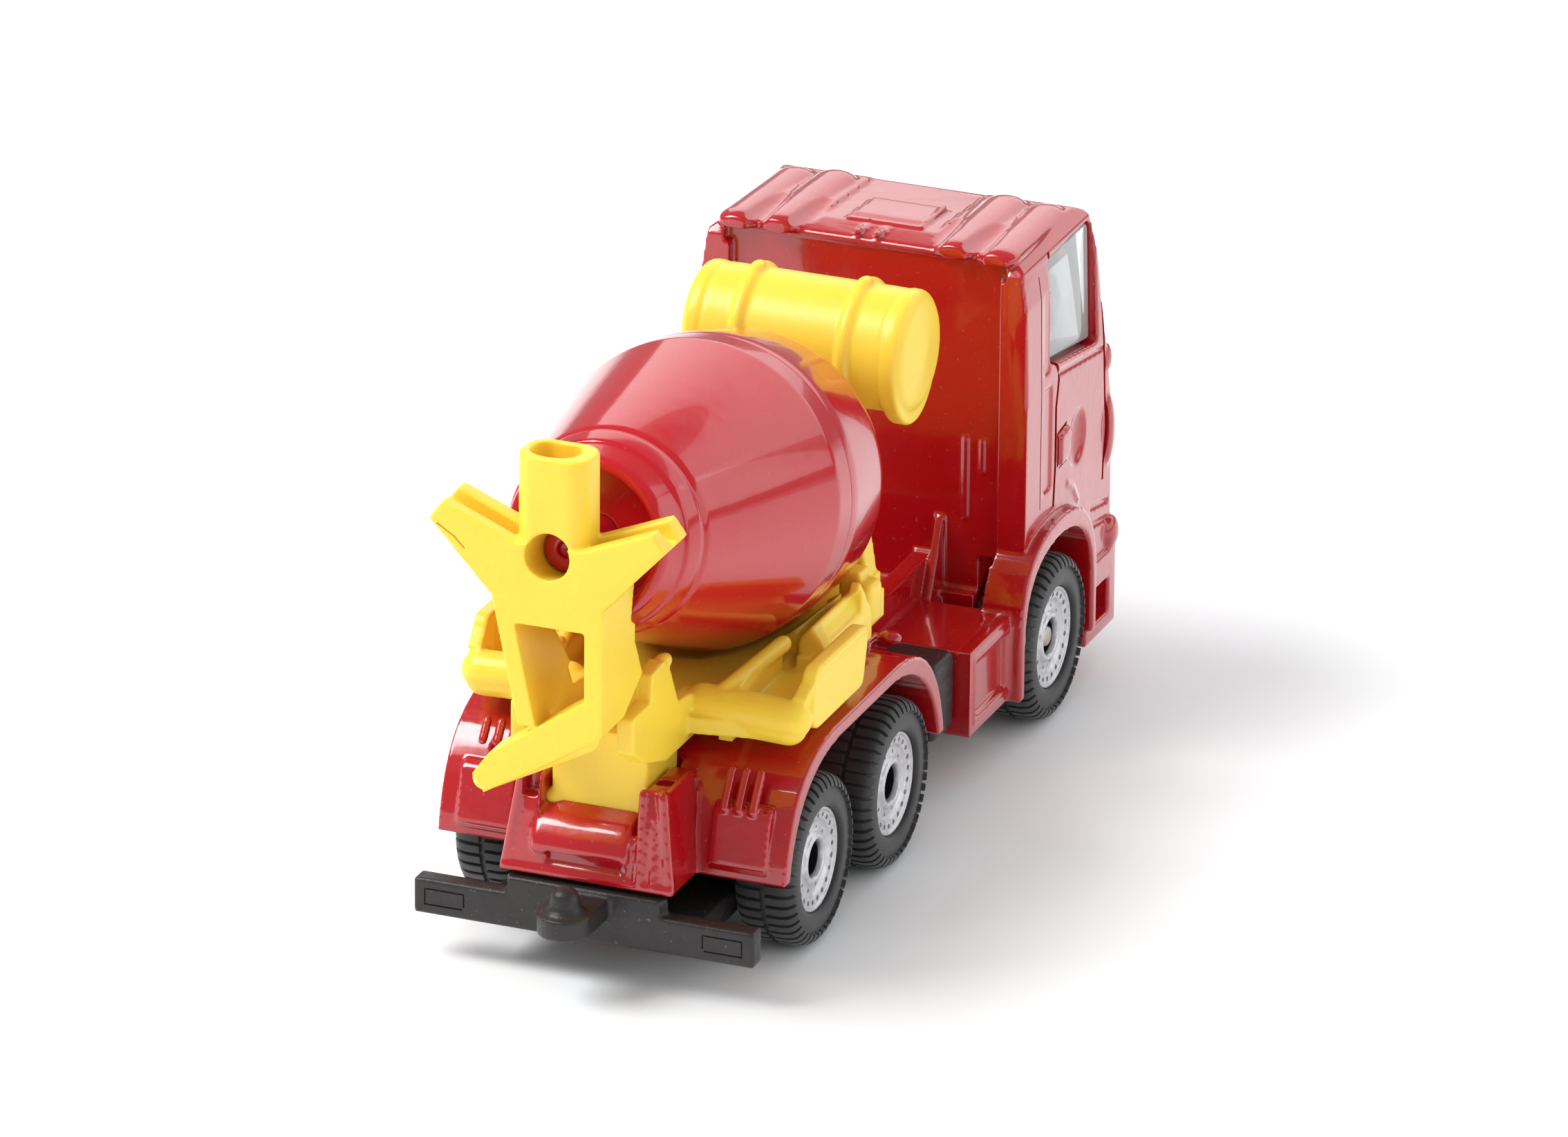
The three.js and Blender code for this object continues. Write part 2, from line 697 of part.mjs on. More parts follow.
function cradle() {
  const rear = cradleRear - cradleWall / 2;
  const innerOuter = cradleInner + cradleWall;
  const wideHalf = cradlePanelFoot - cradleWall / 2;
  const plan = outline([
    [rear, -wideHalf], [cradleWide, -wideHalf], [cradleWide, -noseHalf],
    [cradleFront, -noseHalf], [cradleFront, noseHalf], [cradleWide, noseHalf],
    [cradleWide, wideHalf], [rear, wideHalf],
    [pedestalFront - 1, hornHalf], [pedestalFront - 1, -hornHalf],
  ]);
  const underside = bedTop + cradleLift;
  const floor = floorPlate(plan, underside, underside + cradleFloor);
  const rearWalls = pair(rear, rear + cradleWall, hornHalf - hornWidth, wideHalf, underside, cradleWallTop);
  const innerWalls = pair(rear, cradleWide - cradleWall, cradleInner, innerOuter, cradleBottom,
    cradleWallTop + 0.4);
  const noseWalls = pair(cradleWide - 2 * cradleWall, cradleFront, noseHalf - cradleWall, noseHalf,
    underside, cradleWallTop - 0.4);
  const noseRails = pair(cradleWide - 2 * cradleWall, cradleFront - 3.6, cradleInner, innerOuter,
    cradleBottom, cradleWallTop + 0.5);
  const nosePeaks = pair(cradleFront - 2.6, cradleFront - 0.8, noseHalf - 2.6, noseHalf - 0.9,
    underside, bedTop + nosePeakRise);
  const pedestal = wideBlock(pedestalRear, pedestalFront, pedestalHalf, pedestalBottom,
    underside + cradleFloor);
  const stock = join(floor, rearWalls, innerWalls, noseWalls, noseRails, nosePeaks, cradlePanels(), horns());
  return join(cut(stock, drumSweep()), pedestal, upright());
}

function cradlePanels() {
  const bottom = bedTop + cradlePanelBottom;
  const top = bedTop + cradlePanelTop;
  const shape = outline([
    [cradleRear + 0.7, bottom], [cradleWide - 0.8, bottom], [cradleWide, top - 1.2],
    [cradleWide - 0.5, top], [cradleRear + 2.4, top], [cradleRear, top - 1.6],
  ]);
  const flare = outline([
    [cradlePanelFoot - cradleWall, bottom], [cradlePanelFoot, bottom],
    [cradlePanelHead, top], [cradlePanelHead - cradleWall, top],
  ]);
  const left = crossPlate(flare, cradleRear, cradleWide);
  return join(left, left.mirror([0, 1, 0])).intersect(sidePlate(shape, -beyond, beyond));
}

// Two horns rise from the rear of the cradle to the feet of the tower's legs.
function horns() {
  const peak = bedTop + hornPeakRise;
  const prongRear = towerFront + 0.4;
  const prongTop = legBottom - insertGap;
  const shape = outline([
    [pedestalFront - 0.6, cradleBottom], [pedestalRear + 1.1, cradleBottom], [pedestalRear - 3, cradleBottom + 1.4],
    [prongRear, cradleBottom + 2.9], [prongRear, prongTop], [prongRear + 3.4, prongTop],
    [prongRear + 3.6, peak - 0.2], [prongRear + 6.0, peak], [prongRear + 7.2, peak - 1.3],
    [prongRear + 8.6, cradleWallTop + 0.4], [cradleRear, cradleWallTop], [cradleRear, cradleBottom],
  ]);
  return bothSides(shape, hornHalf - hornWidth, hornHalf);
}

// The upright ahead of the drum, which holds its front journal and the water tank.
function upright() {
  const saddle = tankZ - tankRadius;
  const shoulder = alongDrum(-domeReach).z - 3;
  const saddleHalf = Math.min(uprightHeadHalf, bandPlace - bandWidth / 2 - insertGap);
  const shape = mirrored([[uprightFootHalf, cradleBottom], [6.2, shoulder], [saddleHalf, saddle]]);
  const plate = crossPlate(shape, uprightRear, uprightFront);
  const foot = wideBlock(cradleFront - 1, uprightFront, uprightFootHalf, cradleBottom,
    bedTop + cradleLift + cradleFloor);
  const shelf = wideBlock(uprightRear, tankX + 2, saddleHalf, saddle - 2.2, saddle + 0.5);
  const bore = drumBore(frontJournalRadius, -domeReach - 8, -domeReach + 2);
  const tankRoom = turnedY([[0, -beyond], [around(tankRadius + seat, fine), -beyond],
    [around(tankRadius + seat, fine), beyond], [0, beyond]], tankX, tankZ);
  return cut(join(plate, foot, shelf), bore, tankRoom);
}

// ---------------------------------------------------------------- rear tower

function tower() {
  const bore = drumBore(rearJournalRadius, mouthReach, mouthReach + 2 * towerOverhang);
  const pocket = roundedTube(hopperWall, hubHeight + hopperFloor, hubHeight + hopperHead + 1);
  return cut(join(arms(), legs(), hopper(), chute()), pocket, bore);
}

// The Y: two plates with a trough floor between them.
function arms() {
  const root = [[legHalf - legWidth, hubHeight + windowHead], [legHalf, hubHeight + legHead]];
  const plate = mirrored([
    ...root,
    [armReach, hubHeight + armTip],
    [armReach - 1, hubHeight + armHead],
    [armReach / 2, hubHeight + armNotch + 0.2],
    [2.2, hubHeight + armNotch],
  ]);
  const trough = mirrored([
    ...root,
    [armReach, hubHeight + armTip],
    [armReach - 0.7, hubHeight + armTip + 0.5],
    [legHalf, hubHeight - 1.3],
    [0.5, hubHeight - 2.3],
  ]);
  return join(
    crossPlate(plate, towerRear, towerRear + towerPlate),
    crossPlate(plate, towerFront - towerPlate, towerFront),
    crossPlate(trough, towerRear, towerFront),
  );
}

// Two legs, of which the left one leans in towards its foot.
function legs() {
  const head = hubHeight + legHead;
  const side = outline([
    [towerRear, legBottom], [towerFront, legBottom], [towerFront + 3.4, legBottom + 2.1],
    [towerFront + 2, legBottom + 5.1], [towerFront + 2, head], [towerRear, head],
  ]);
  const right = outline([
    [-legHalf, legBottom], [-legHalf + legWidth, legBottom], [-legHalf + legWidth, head], [-legHalf, head],
  ]);
  const footHalf = legHalf - leftLegLean;
  const left = outline([
    [footHalf - legWidth, legBottom], [footHalf, legBottom], [legHalf, head], [legHalf - legWidth, head],
  ]);
  const both = join(
    crossPlate(right, towerRear, towerFront + 4),
    crossPlate(left, towerRear, towerFront + 4),
  );
  return cut(both.intersect(sidePlate(side, -beyond, beyond)), drumSweep());
}

// The hopper's tube with round corners, inset by a wall.
function roundedTube(inset, z0, z1) {
  const x0 = towerRear + hopperInset + inset;
  const x1 = x0 + hopperDepth - 2 * inset;
  const half = hopperWidth / 2 - inset;
  const radius = hopperCorner - inset;
  const shape = new THREE.Shape();
  shape.absarc(x1 - radius, half - radius, radius, 0, Math.PI / 2);
  shape.absarc(x0 + radius, half - radius, radius, Math.PI / 2, Math.PI);
  shape.absarc(x0 + radius, -half + radius, radius, Math.PI, 1.5 * Math.PI);
  shape.absarc(x1 - radius, -half + radius, radius, 1.5 * Math.PI, 2 * Math.PI);
  return floorPlate(shape, z0, z1);
}

function hopper() {
  return roundedTube(0, hubHeight + legHead, hubHeight + hopperHead);
}

// A bar that runs down from the right leg to the left.
function chute() {
  const tip = legBottom - chuteDrop;
  const bar = outline([
    [-legHalf, legBottom], [0, legBottom - 2.7], [chuteReach - 0.9, tip], [chuteReach, tip + 1.3],
    [chuteReach - 1.3, tip + 3.1], [-legHalf + legWidth, legBottom + 2.5],
  ]);
  return crossPlate(bar, towerRear, towerRear + chuteDepth);
}

// ---------------------------------------------------------------- water tank

function waterTank() {
  const band = tankRadius + bandRise;
  const half = [
    [tankRadius, bandPlace - bandWidth / 2],
    [band, bandPlace - bandWidth / 4],
    [band, bandPlace + bandWidth / 4],
    [tankRadius, bandPlace + bandWidth / 2],
    [tankRadius, tankHalf - 0.7],
    [tankRadius - 0.7, tankHalf],
    [0, tankHalf + tankDish],
  ];
  const other = half.map(([r, y]) => [r, -y]).reverse();
  const barrel = turnedY([...other, ...half], tankX, tankZ);
  const endPlate = new THREE.Shape();
  endPlate.absarc(tankX, tankZ, tankRadius, 0, Math.PI);
  endPlate.absarc(tankX, tankZ - endPlateDrop, tankRadius, Math.PI, 2 * Math.PI);
  return join(barrel, bothSides(endPlate, tankHalf - insertGap - endPlateWidth, tankHalf - insertGap));
}

// ---------------------------------------------------------------- drum

function drumRear() {
  return turnedOnDrum([
    [drumRadius, 0],
    [drumRadius, beltReach],
    [neckRadius, neckReach],
    [neckRadius - 0.1, neckReach + 1.7],
    [mouthRadius + 0.3, mouthReach - 0.2],
    [mouthRadius, mouthReach],
    [mouthRadius - drumWall, mouthReach],
    [mouthRadius - drumWall, webReach + drumWall],
    [rearJournalRadius, webReach + drumWall],
    [rearJournalRadius, rearJournalReach],
    [0, rearJournalReach],
    [0, webReach],
    [neckRadius - 1.4 * drumWall, webReach],
    [drumRadius - drumWall, beltReach],
    [drumRadius - drumWall, 0],
    [drumRadius, 0],
  ]);
}

function drumFront() {
  const journalEnd = domeReach + insertGap + uprightThickness;
  return turnedOnDrum([
    [0, -journalEnd],
    [frontJournalRadius, -journalEnd],
    [frontJournalRadius, -domeReach],
    [domeRadius, -domeReach],
    [shoulderRadius - 1.4, -shoulderReach - 2.2],
    [shoulderRadius, -shoulderReach],
    [drumRadius, -seat],
    [drumRadius - drumWall, -seat],
    [shoulderRadius - drumWall, -shoulderReach],
    [domeRadius - 0.4, -domeReach + drumWall],
    [0, -domeReach + drumWall],
  ]);
}

// ---------------------------------------------------------------- assembly

const truck = new THREE.Group();
truck.add(named("body_casting", body(), redPaint));
truck.add(named("base_plate", base(), blackPlastic));
truck.add(named("cab_glazing", glazing(), clearPlastic));
truck.add(named("cab_interior", interior(), blackPlastic));
for (const [place, wheel] of Object.entries(wheels)) {
  truck.add(named(`${place}_axle`, axle(wheel), steel));
  for (const [word, side] of [["left", 1], ["right", -1]]) {
    truck.add(named(`${place}_${word}_tyre`, tyre(wheel, side), blackRubber));
    truck.add(named(`${place}_${word}_rim`, rim(wheel, side), silverPaint));
  }
}
truck.add(named("drum_cradle", cradle(), yellowPlastic));
truck.add(named("rear_tower", tower(), yellowPlastic));
truck.add(named("water_tank", waterTank(), yellowPlastic));
truck.add(named("drum_rear_shell", drumRear(), redPlastic));
truck.add(named("drum_front_shell", drumFront(), redPlastic));

// The middle of the truck's length goes over the origin.
truck.position.x = -(towerRear + cabFront + apronProud) / 2;

export default truck;
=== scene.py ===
"""A toy cement mixer truck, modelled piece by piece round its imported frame.

Sizes are in millimetres in the truck's own frame: X forwards from the rear axle, Y to the left and
Z up from the ground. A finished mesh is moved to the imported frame, in metres.
"""

from __future__ import annotations

import logging
import math
from dataclasses import dataclass, field
from enum import Enum
from typing import Iterable, Sequence

import bmesh
import bpy
from mathutils import Matrix, Vector


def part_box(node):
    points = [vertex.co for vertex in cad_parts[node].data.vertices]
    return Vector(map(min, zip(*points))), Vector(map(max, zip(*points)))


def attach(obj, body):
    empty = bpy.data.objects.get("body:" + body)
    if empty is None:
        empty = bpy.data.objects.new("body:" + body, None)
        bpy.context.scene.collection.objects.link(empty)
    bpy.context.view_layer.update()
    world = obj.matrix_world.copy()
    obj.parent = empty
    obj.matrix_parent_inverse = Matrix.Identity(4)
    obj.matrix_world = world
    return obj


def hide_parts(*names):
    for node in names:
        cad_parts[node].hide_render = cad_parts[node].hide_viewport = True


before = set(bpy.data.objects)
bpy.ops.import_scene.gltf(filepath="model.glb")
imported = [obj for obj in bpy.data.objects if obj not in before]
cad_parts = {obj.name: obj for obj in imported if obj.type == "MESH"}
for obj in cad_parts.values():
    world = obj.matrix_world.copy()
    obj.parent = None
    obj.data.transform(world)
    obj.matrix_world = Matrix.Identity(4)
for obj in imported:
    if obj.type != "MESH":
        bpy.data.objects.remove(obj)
LOG = logging.getLogger("cement_mixer")

MM = 0.001
SPECK_MM = 0.35
SPECK_RANGE = (0.70, 0.78)
SPECK_COLOUR = (0.8, 0.75, 0.72, 1.0)
MERGE_MM = 0.004
FLAT_DEGREES = 0.6
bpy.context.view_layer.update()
REAR_AXLE_X = sum(corner.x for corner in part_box("rear_axle")) / 2

Point2 = Sequence[float]
Box3 = tuple[float, float, float, float, float, float]


class Body(Enum):
    """The rigid bodies that pieces ride on."""

    TRUCK = "truck"
    REAR_WHEELS = "rear_wheelset"
    MIDDLE_WHEELS = "middle_wheelset"
    FRONT_WHEELS = "front_wheelset"
    DRUM = "drum"


class Plane(Enum):
    """The plane that an outline is drawn in; its thickness runs along the third axis."""

    SIDE = "xz"
    CROSS = "yz"
    FLOOR = "xy"

    def place(self, a: float, b: float, depth: float) -> Vector:
        """The point (a, b) of the plane at a depth along its normal."""
        if self is Plane.SIDE:
            return Vector((a, depth, b))
        if self is Plane.CROSS:
            return Vector((depth, a, b))
        return Vector((a, b, depth))

    def depth_of(self, point: Vector) -> float:
        """How far along the plane's normal a point lies."""
        return {Plane.SIDE: point.y, Plane.CROSS: point.x, Plane.FLOOR: point.z}[self]


# ---------------------------------------------------------------- finishes


@dataclass(frozen=True)
class Finish:
    """A moulded or painted surface: two close tints, a gloss, and a fine relief.

    Args:
        name: the material's name.
        slot: the record's material slot; not used.
        tint: the colour, linear.
        second: the colour that it drifts to in soft patches.
        roughness: the middle roughness.
        spread: how much the roughness drifts.
        wave_mm: the size of the slow relief, such as orange peel, and wave its depth.
        grain_mm: the size of the fine relief, and grain its depth.
    """

    name: str
    slot: str
    tint: tuple[float, float, float]
    second: tuple[float, float, float]
    roughness: float = 0.3
    spread: float = 0.08
    metallic: float = 0.0
    coat: float = 0.0
    coat_roughness: float = 0.05
    specular: float = 0.5
    transmission: float = 0.0
    subsurface: float = 0.0
    sheen: float = 0.0
    patch_mm: float = 6.0
    wave_mm: float = 1.4
    wave: float = 0.1
    grain_mm: float = 0.12
    grain: float = 0.1
    dust: float = 0.0

    def build(self) -> bpy.types.Material:
        """Makes the node material.

        Returns:
            The material, ready to be put on a mesh.
        """
        material = bpy.data.materials.new(self.name)
        material.use_nodes = True
        nodes = material.node_tree.nodes
        links = material.node_tree.links
        shader = nodes["Principled BSDF"]
        place = nodes.new("ShaderNodeTexCoord")

        def noise(size_mm: float, detail: float) -> bpy.types.Node:
            """A noise whose features are about size_mm across."""
            node = nodes.new("ShaderNodeTexNoise")
            node.inputs["Scale"].default_value = 1.0 / (size_mm * MM)
            node.inputs["Detail"].default_value = detail
            node.inputs["Roughness"].default_value = 0.55
            links.new(place.outputs["Object"], node.inputs["Vector"])
            return node

        patches = noise(self.patch_mm, 3.0)
        tints = nodes.new("ShaderNodeMix")
        tints.data_type = "RGBA"
        tints.inputs["A"].default_value = (*self.tint, 1.0)
        tints.inputs["B"].default_value = (*self.second, 1.0)
        links.new(patches.outputs["Fac"], tints.inputs["Factor"])
        colour = tints.outputs["Result"]
        grains = noise(self.grain_mm, 2.0)
        if self.dust > 0:
            specks = nodes.new("ShaderNodeMapRange")
            specks.inputs["From Min"].default_value = SPECK_RANGE[0]
            specks.inputs["From Max"].default_value = SPECK_RANGE[1]
            specks.inputs["To Max"].default_value = self.dust
            links.new(noise(SPECK_MM, 1.0).outputs["Fac"], specks.inputs["Value"])
            dusty = nodes.new("ShaderNodeMix")
            dusty.data_type = "RGBA"
            dusty.inputs["B"].default_value = SPECK_COLOUR
            links.new(specks.outputs["Result"], dusty.inputs["Factor"])
            links.new(colour, dusty.inputs["A"])
            colour = dusty.outputs["Result"]
        links.new(colour, shader.inputs["Base Color"])

        gloss = nodes.new("ShaderNodeMapRange")
        gloss.inputs["To Min"].default_value = max(0.0, self.roughness - self.spread)
        gloss.inputs["To Max"].default_value = self.roughness + self.spread
        links.new(noise(self.patch_mm / 3, 4.0).outputs["Fac"], gloss.inputs["Value"])
        links.new(gloss.outputs["Result"], shader.inputs["Roughness"])

        fine = nodes.new("ShaderNodeBump")
        fine.inputs["Strength"].default_value = self.grain
        fine.inputs["Distance"].default_value = self.grain_mm * MM / 3
        links.new(grains.outputs["Fac"], fine.inputs["Height"])
        slow = nodes.new("ShaderNodeBump")
        slow.inputs["Strength"].default_value = self.wave
        slow.inputs["Distance"].default_value = self.wave_mm * MM / 6
        links.new(noise(self.wave_mm, 1.5).outputs["Fac"], slow.inputs["Height"])
        links.new(fine.outputs["Normal"], slow.inputs["Normal"])
        links.new(slow.outputs["Normal"], shader.inputs["Normal"])

        shader.inputs["Metallic"].default_value = self.metallic
        shader.inputs["Specular IOR Level"].default_value = self.specular
        shader.inputs["Coat Weight"].default_value = self.coat
        shader.inputs["Coat Roughness"].default_value = self.coat_roughness
        shader.inputs["Transmission Weight"].default_value = self.transmission
        shader.inputs["Subsurface Weight"].default_value = self.subsurface
        shader.inputs["Subsurface Scale"].default_value = MM
        shader.inputs["Sheen Weight"].default_value = self.sheen
        return material


RED_PAINT = Finish(
    "red_enamel", "red_paint", (0.47, 0.004, 0.008), (0.40, 0.002, 0.006),
    roughness=0.22, spread=0.07, coat=1.0, coat_roughness=0.06, specular=0.55,
    wave_mm=1.1, wave=0.14, grain_mm=0.16, grain=0.06, dust=0.07,
)
RED_PLASTIC = Finish(
    "red_gloss_moulding", "red_plastic", (0.52, 0.005, 0.012), (0.46, 0.003, 0.010),
    roughness=0.15, spread=0.05, coat=0.5, coat_roughness=0.03, specular=0.5,
    wave_mm=2.4, wave=0.05, grain_mm=0.2, grain=0.03, dust=0.04,
)
YELLOW_PLASTIC = Finish(
    "yellow_moulding", "yellow_plastic", (0.94, 0.69, 0.07), (0.92, 0.66, 0.052),
    roughness=0.34, spread=0.06, specular=0.45, subsurface=0.5,
    wave_mm=2.0, wave=0.05, grain_mm=0.14, grain=0.06,
)
BLACK_PLASTIC = Finish(
    "black_moulding", "black_plastic", (0.017, 0.015, 0.015), (0.032, 0.028, 0.028),
    roughness=0.40, spread=0.14, specular=0.45, patch_mm=1.5,
    wave_mm=0.5, wave=0.3, grain_mm=0.12, grain=0.55, dust=0.1,
)
TYRE_RUBBER = Finish(
    "tyre_moulding", "tyre_rubber", (0.020, 0.020, 0.021), (0.032, 0.032, 0.034),
    roughness=0.5, spread=0.1, specular=0.5, sheen=0.15,
    wave_mm=0.8, wave=0.08, grain_mm=0.09, grain=0.2, dust=0.04,
)
SILVER_PLASTIC = Finish(
    "silver_disc", "silver_plastic", (0.88, 0.88, 0.89), (0.42, 0.42, 0.44),
    roughness=0.34, spread=0.14, metallic=0.6, specular=0.5, patch_mm=0.6,
    wave_mm=0.7, wave=0.55, grain_mm=0.12, grain=0.2, dust=0.1,
)
HUB_SHADOW = Finish(
    "hub_shadow", "black_plastic", (0.006, 0.006, 0.006), (0.012, 0.012, 0.012),
    roughness=0.6, spread=0.1, specular=0.12,
    wave_mm=0.6, wave=0.16, grain_mm=0.1, grain=0.35,
)
STEEL = Finish(
    "cut_wire", "steel", (0.60, 0.57, 0.50), (0.46, 0.42, 0.36),
    roughness=0.34, spread=0.12, metallic=1.0, patch_mm=0.8,
    wave_mm=0.5, wave=0.3, grain_mm=0.06, grain=0.3,
)
CLEAR_PLASTIC = Finish(
    "clear_glazing", "clear_plastic", (0.93, 0.95, 0.95), (0.90, 0.92, 0.92),
    roughness=0.07, spread=0.04, transmission=0.72, specular=0.6,
    wave_mm=3.0, wave=0.05, grain_mm=0.2, grain=0.02,
)


# ---------------------------------------------------------------- mesh tools


def slab(
    outline: Sequence[Point2],
    plane: Plane,
    low: float,
    high: float,
    edge: float = 0.0,
    steps: int = 5,
) -> bmesh.types.BMesh:
    """An outline given thickness, with rounded corners and rims.

    Args:
        outline: (a, b) or (a, b, corner radius) for each corner.
        plane: the plane that the outline is drawn in.
        low: the depth of one face.
        high: the depth of the other face.
        edge: radius of the rims.
        steps: segments of a rounded corner.

    Returns:
        A closed mesh.
    """
    bm = bmesh.new()
    corners = [
        (bm.verts.new(plane.place(p[0], p[1], low)), p[2] if len(p) > 2 else 0.0) for p in outline
    ]
    bm.faces.new([vert for vert, _ in corners])
    for radius in sorted({r for _, r in corners if r > 0}):
        chosen = [vert for vert, r in corners if r == radius]
        bmesh.ops.bevel(
            bm, geom=chosen, offset=radius, segments=max(steps, round(steps * radius / 2)),
            profile=0.5, affect="VERTICES", clamp_overlap=True, material=-1,
        )
    grown = bmesh.ops.extrude_face_region(bm, geom=bm.faces[:])
    moved = [item for item in grown["geom"] if isinstance(item, bmesh.types.BMVert)]
    bmesh.ops.translate(bm, verts=moved, vec=plane.place(0.0, 0.0, high - low))
    bmesh.ops.recalc_face_normals(bm, faces=bm.faces[:])
    if edge > 0:
        rims = [
            e for e in bm.edges
            if abs(plane.depth_of(e.verts[0].co) - plane.depth_of(e.verts[1].co)) < 1e-6
        ]
        bmesh.ops.bevel(
            bm, geom=rims, offset=edge, segments=3, profile=0.5, affect="EDGES",
            clamp_overlap=True, material=-1,
        )
    return bm


def brick(box: Box3, edge: float = 0.0, segments: int = 3) -> bmesh.types.BMesh:
    """A block (x0, x1, y0, y1, z0, z1) with rounded edges."""
    x0, x1, y0, y1, z0, z1 = box
    bm = bmesh.new()
    bmesh.ops.create_cube(bm, size=1.0)
    bmesh.ops.scale(bm, verts=bm.verts[:], vec=(x1 - x0, y1 - y0, z1 - z0))
    bmesh.ops.translate(bm, verts=bm.verts[:], vec=((x0 + x1) / 2, (y0 + y1) / 2, (z0 + z1) / 2))
    if edge > 0:
        bmesh.ops.bevel(
            bm, geom=bm.edges[:], offset=edge, segments=segments, profile=0.5, affect="EDGES",
            clamp_overlap=True, material=-1,
        )
    return bm


def turned(profile: Sequence[Point2], place: Matrix, steps: int = 64) -> bmesh.types.BMesh:
    """A body turned about Z and then placed.

    Args:
        profile: (radius, height) points, from the axis back to the axis or closing on the first.
        place: where the body goes.
        steps: sides of the turning.

    Returns:
        A closed mesh.
    """
    bm = bmesh.new()
    verts = [bm.verts.new((r, 0.0, h)) for r, h in profile]
    edges = [bm.edges.new(pair) for pair in zip(verts, verts[1:])]
    bmesh.ops.spin(
        bm, geom=verts + edges, cent=(0, 0, 0), axis=(0, 0, 1), angle=math.tau,
        steps=steps, use_merge=True, use_duplicate=False,
    )
    bmesh.ops.remove_doubles(bm, verts=bm.verts[:], dist=1e-4)
    bmesh.ops.dissolve_degenerate(bm, dist=1e-5, edges=bm.edges[:])
    bmesh.ops.transform(bm, matrix=place, verts=bm.verts[:])
    bmesh.ops.recalc_face_normals(bm, faces=bm.faces[:])
    return bm


def ball(centre: Point2, radii: Point2, steps: int = 24) -> bmesh.types.BMesh:
    """An ellipsoid."""
    bm = bmesh.new()
    bmesh.ops.create_uvsphere(bm, u_segments=steps, v_segments=steps // 2, radius=1.0)
    bmesh.ops.scale(bm, verts=bm.verts[:], vec=radii)
    bmesh.ops.translate(bm, verts=bm.verts[:], vec=centre)
    return bm


def bar(start: Point2, end: Point2, radius: float, steps: int = 12) -> bmesh.types.BMesh:
    """A round bar with domed ends between two points."""
    a = Vector(start)
    b = Vector(end)
    length = (b - a).length
    angles = [t * math.pi / 10 for t in range(6)]
    profile = [(radius * math.sin(angle), -radius * math.cos(angle)) for angle in angles]
    profile += [(r, length - h) for r, h in reversed(profile)]
    turn = (b - a).to_track_quat("Z", "Y").to_matrix().to_4x4()
    return turned(profile, Matrix.Translation(a) @ turn, steps)


def path_bars(points: Sequence[Point2], radius: float) -> list[bmesh.types.BMesh]:
    """Round bars along a path, joined by their domed ends."""
    return [bar(a, b, radius) for a, b in zip(points, points[1:])]


def mirror(bm: bmesh.types.BMesh) -> bmesh.types.BMesh:
    """A copy on the other side of the middle plane."""
    other = bm.copy()
    bmesh.ops.scale(other, verts=other.verts[:], vec=(1, -1, 1))
    bmesh.ops.reverse_faces(other, faces=other.faces[:])
    return other


def both(bm: bmesh.types.BMesh) -> list[bmesh.types.BMesh]:
    """The mesh and its mirror image."""
    return [bm, mirror(bm)]


def gathered(parts: Iterable[bmesh.types.BMesh]) -> bmesh.types.BMesh:
    """Several closed meshes in one, freeing the originals."""
    whole = bmesh.new()
    for part in parts:
        mesh = bpy.data.meshes.new("part")
        part.to_mesh(mesh)
        part.free()
        whole.from_mesh(mesh)
        bpy.data.meshes.remove(mesh)
    return whole


def holder(bm: bmesh.types.BMesh) -> bpy.types.Object:
    """A scratch object that holds a mesh for a boolean."""
    mesh = bpy.data.meshes.new("scratch")
    bm.to_mesh(mesh)
    bm.free()
    thing = bpy.data.objects.new("scratch", mesh)
    bpy.context.scene.collection.objects.link(thing)
    return thing


def discard(thing: bpy.types.Object) -> None:
    """Removes a scratch object and its mesh."""
    mesh = thing.data
    bpy.data.objects.remove(thing)
    bpy.data.meshes.remove(mesh)


def combined(
    base: bmesh.types.BMesh,
    added: Iterable[bmesh.types.BMesh] = (),
    removed: Iterable[bmesh.types.BMesh] = (),
    kept: Iterable[bmesh.types.BMesh] = (),
) -> bmesh.types.BMesh:
    """Joins, cuts and trims closed meshes.

    Args:
        base: the mesh to start from.
        added: meshes joined to it first.
        removed: meshes cut from it afterwards.
        kept: meshes that it is trimmed to at the end.

    Returns:
        One closed mesh.
    """
    thing = holder(base)
    tools = []
    for operation, parts in (("UNION", added), ("DIFFERENCE", removed), ("INTERSECT", kept)):
        for part in parts:
            tool = holder(part)
            tools.append(tool)
            step = thing.modifiers.new("step", "BOOLEAN")
            step.operation = operation
            step.solver = "EXACT"
            step.object = tool
    graph = bpy.context.evaluated_depsgraph_get()
    result = bmesh.new()
    result.from_object(thing, graph)
    for used in [thing, *tools]:
        discard(used)
    bmesh.ops.remove_doubles(result, verts=result.verts[:], dist=MERGE_MM)
    bmesh.ops.dissolve_limit(
        result, angle_limit=math.radians(FLAT_DEGREES), verts=result.verts[:], edges=result.edges[:],
    )
    bmesh.ops.dissolve_degenerate(result, dist=MERGE_MM, edges=result.edges[:])
    return result


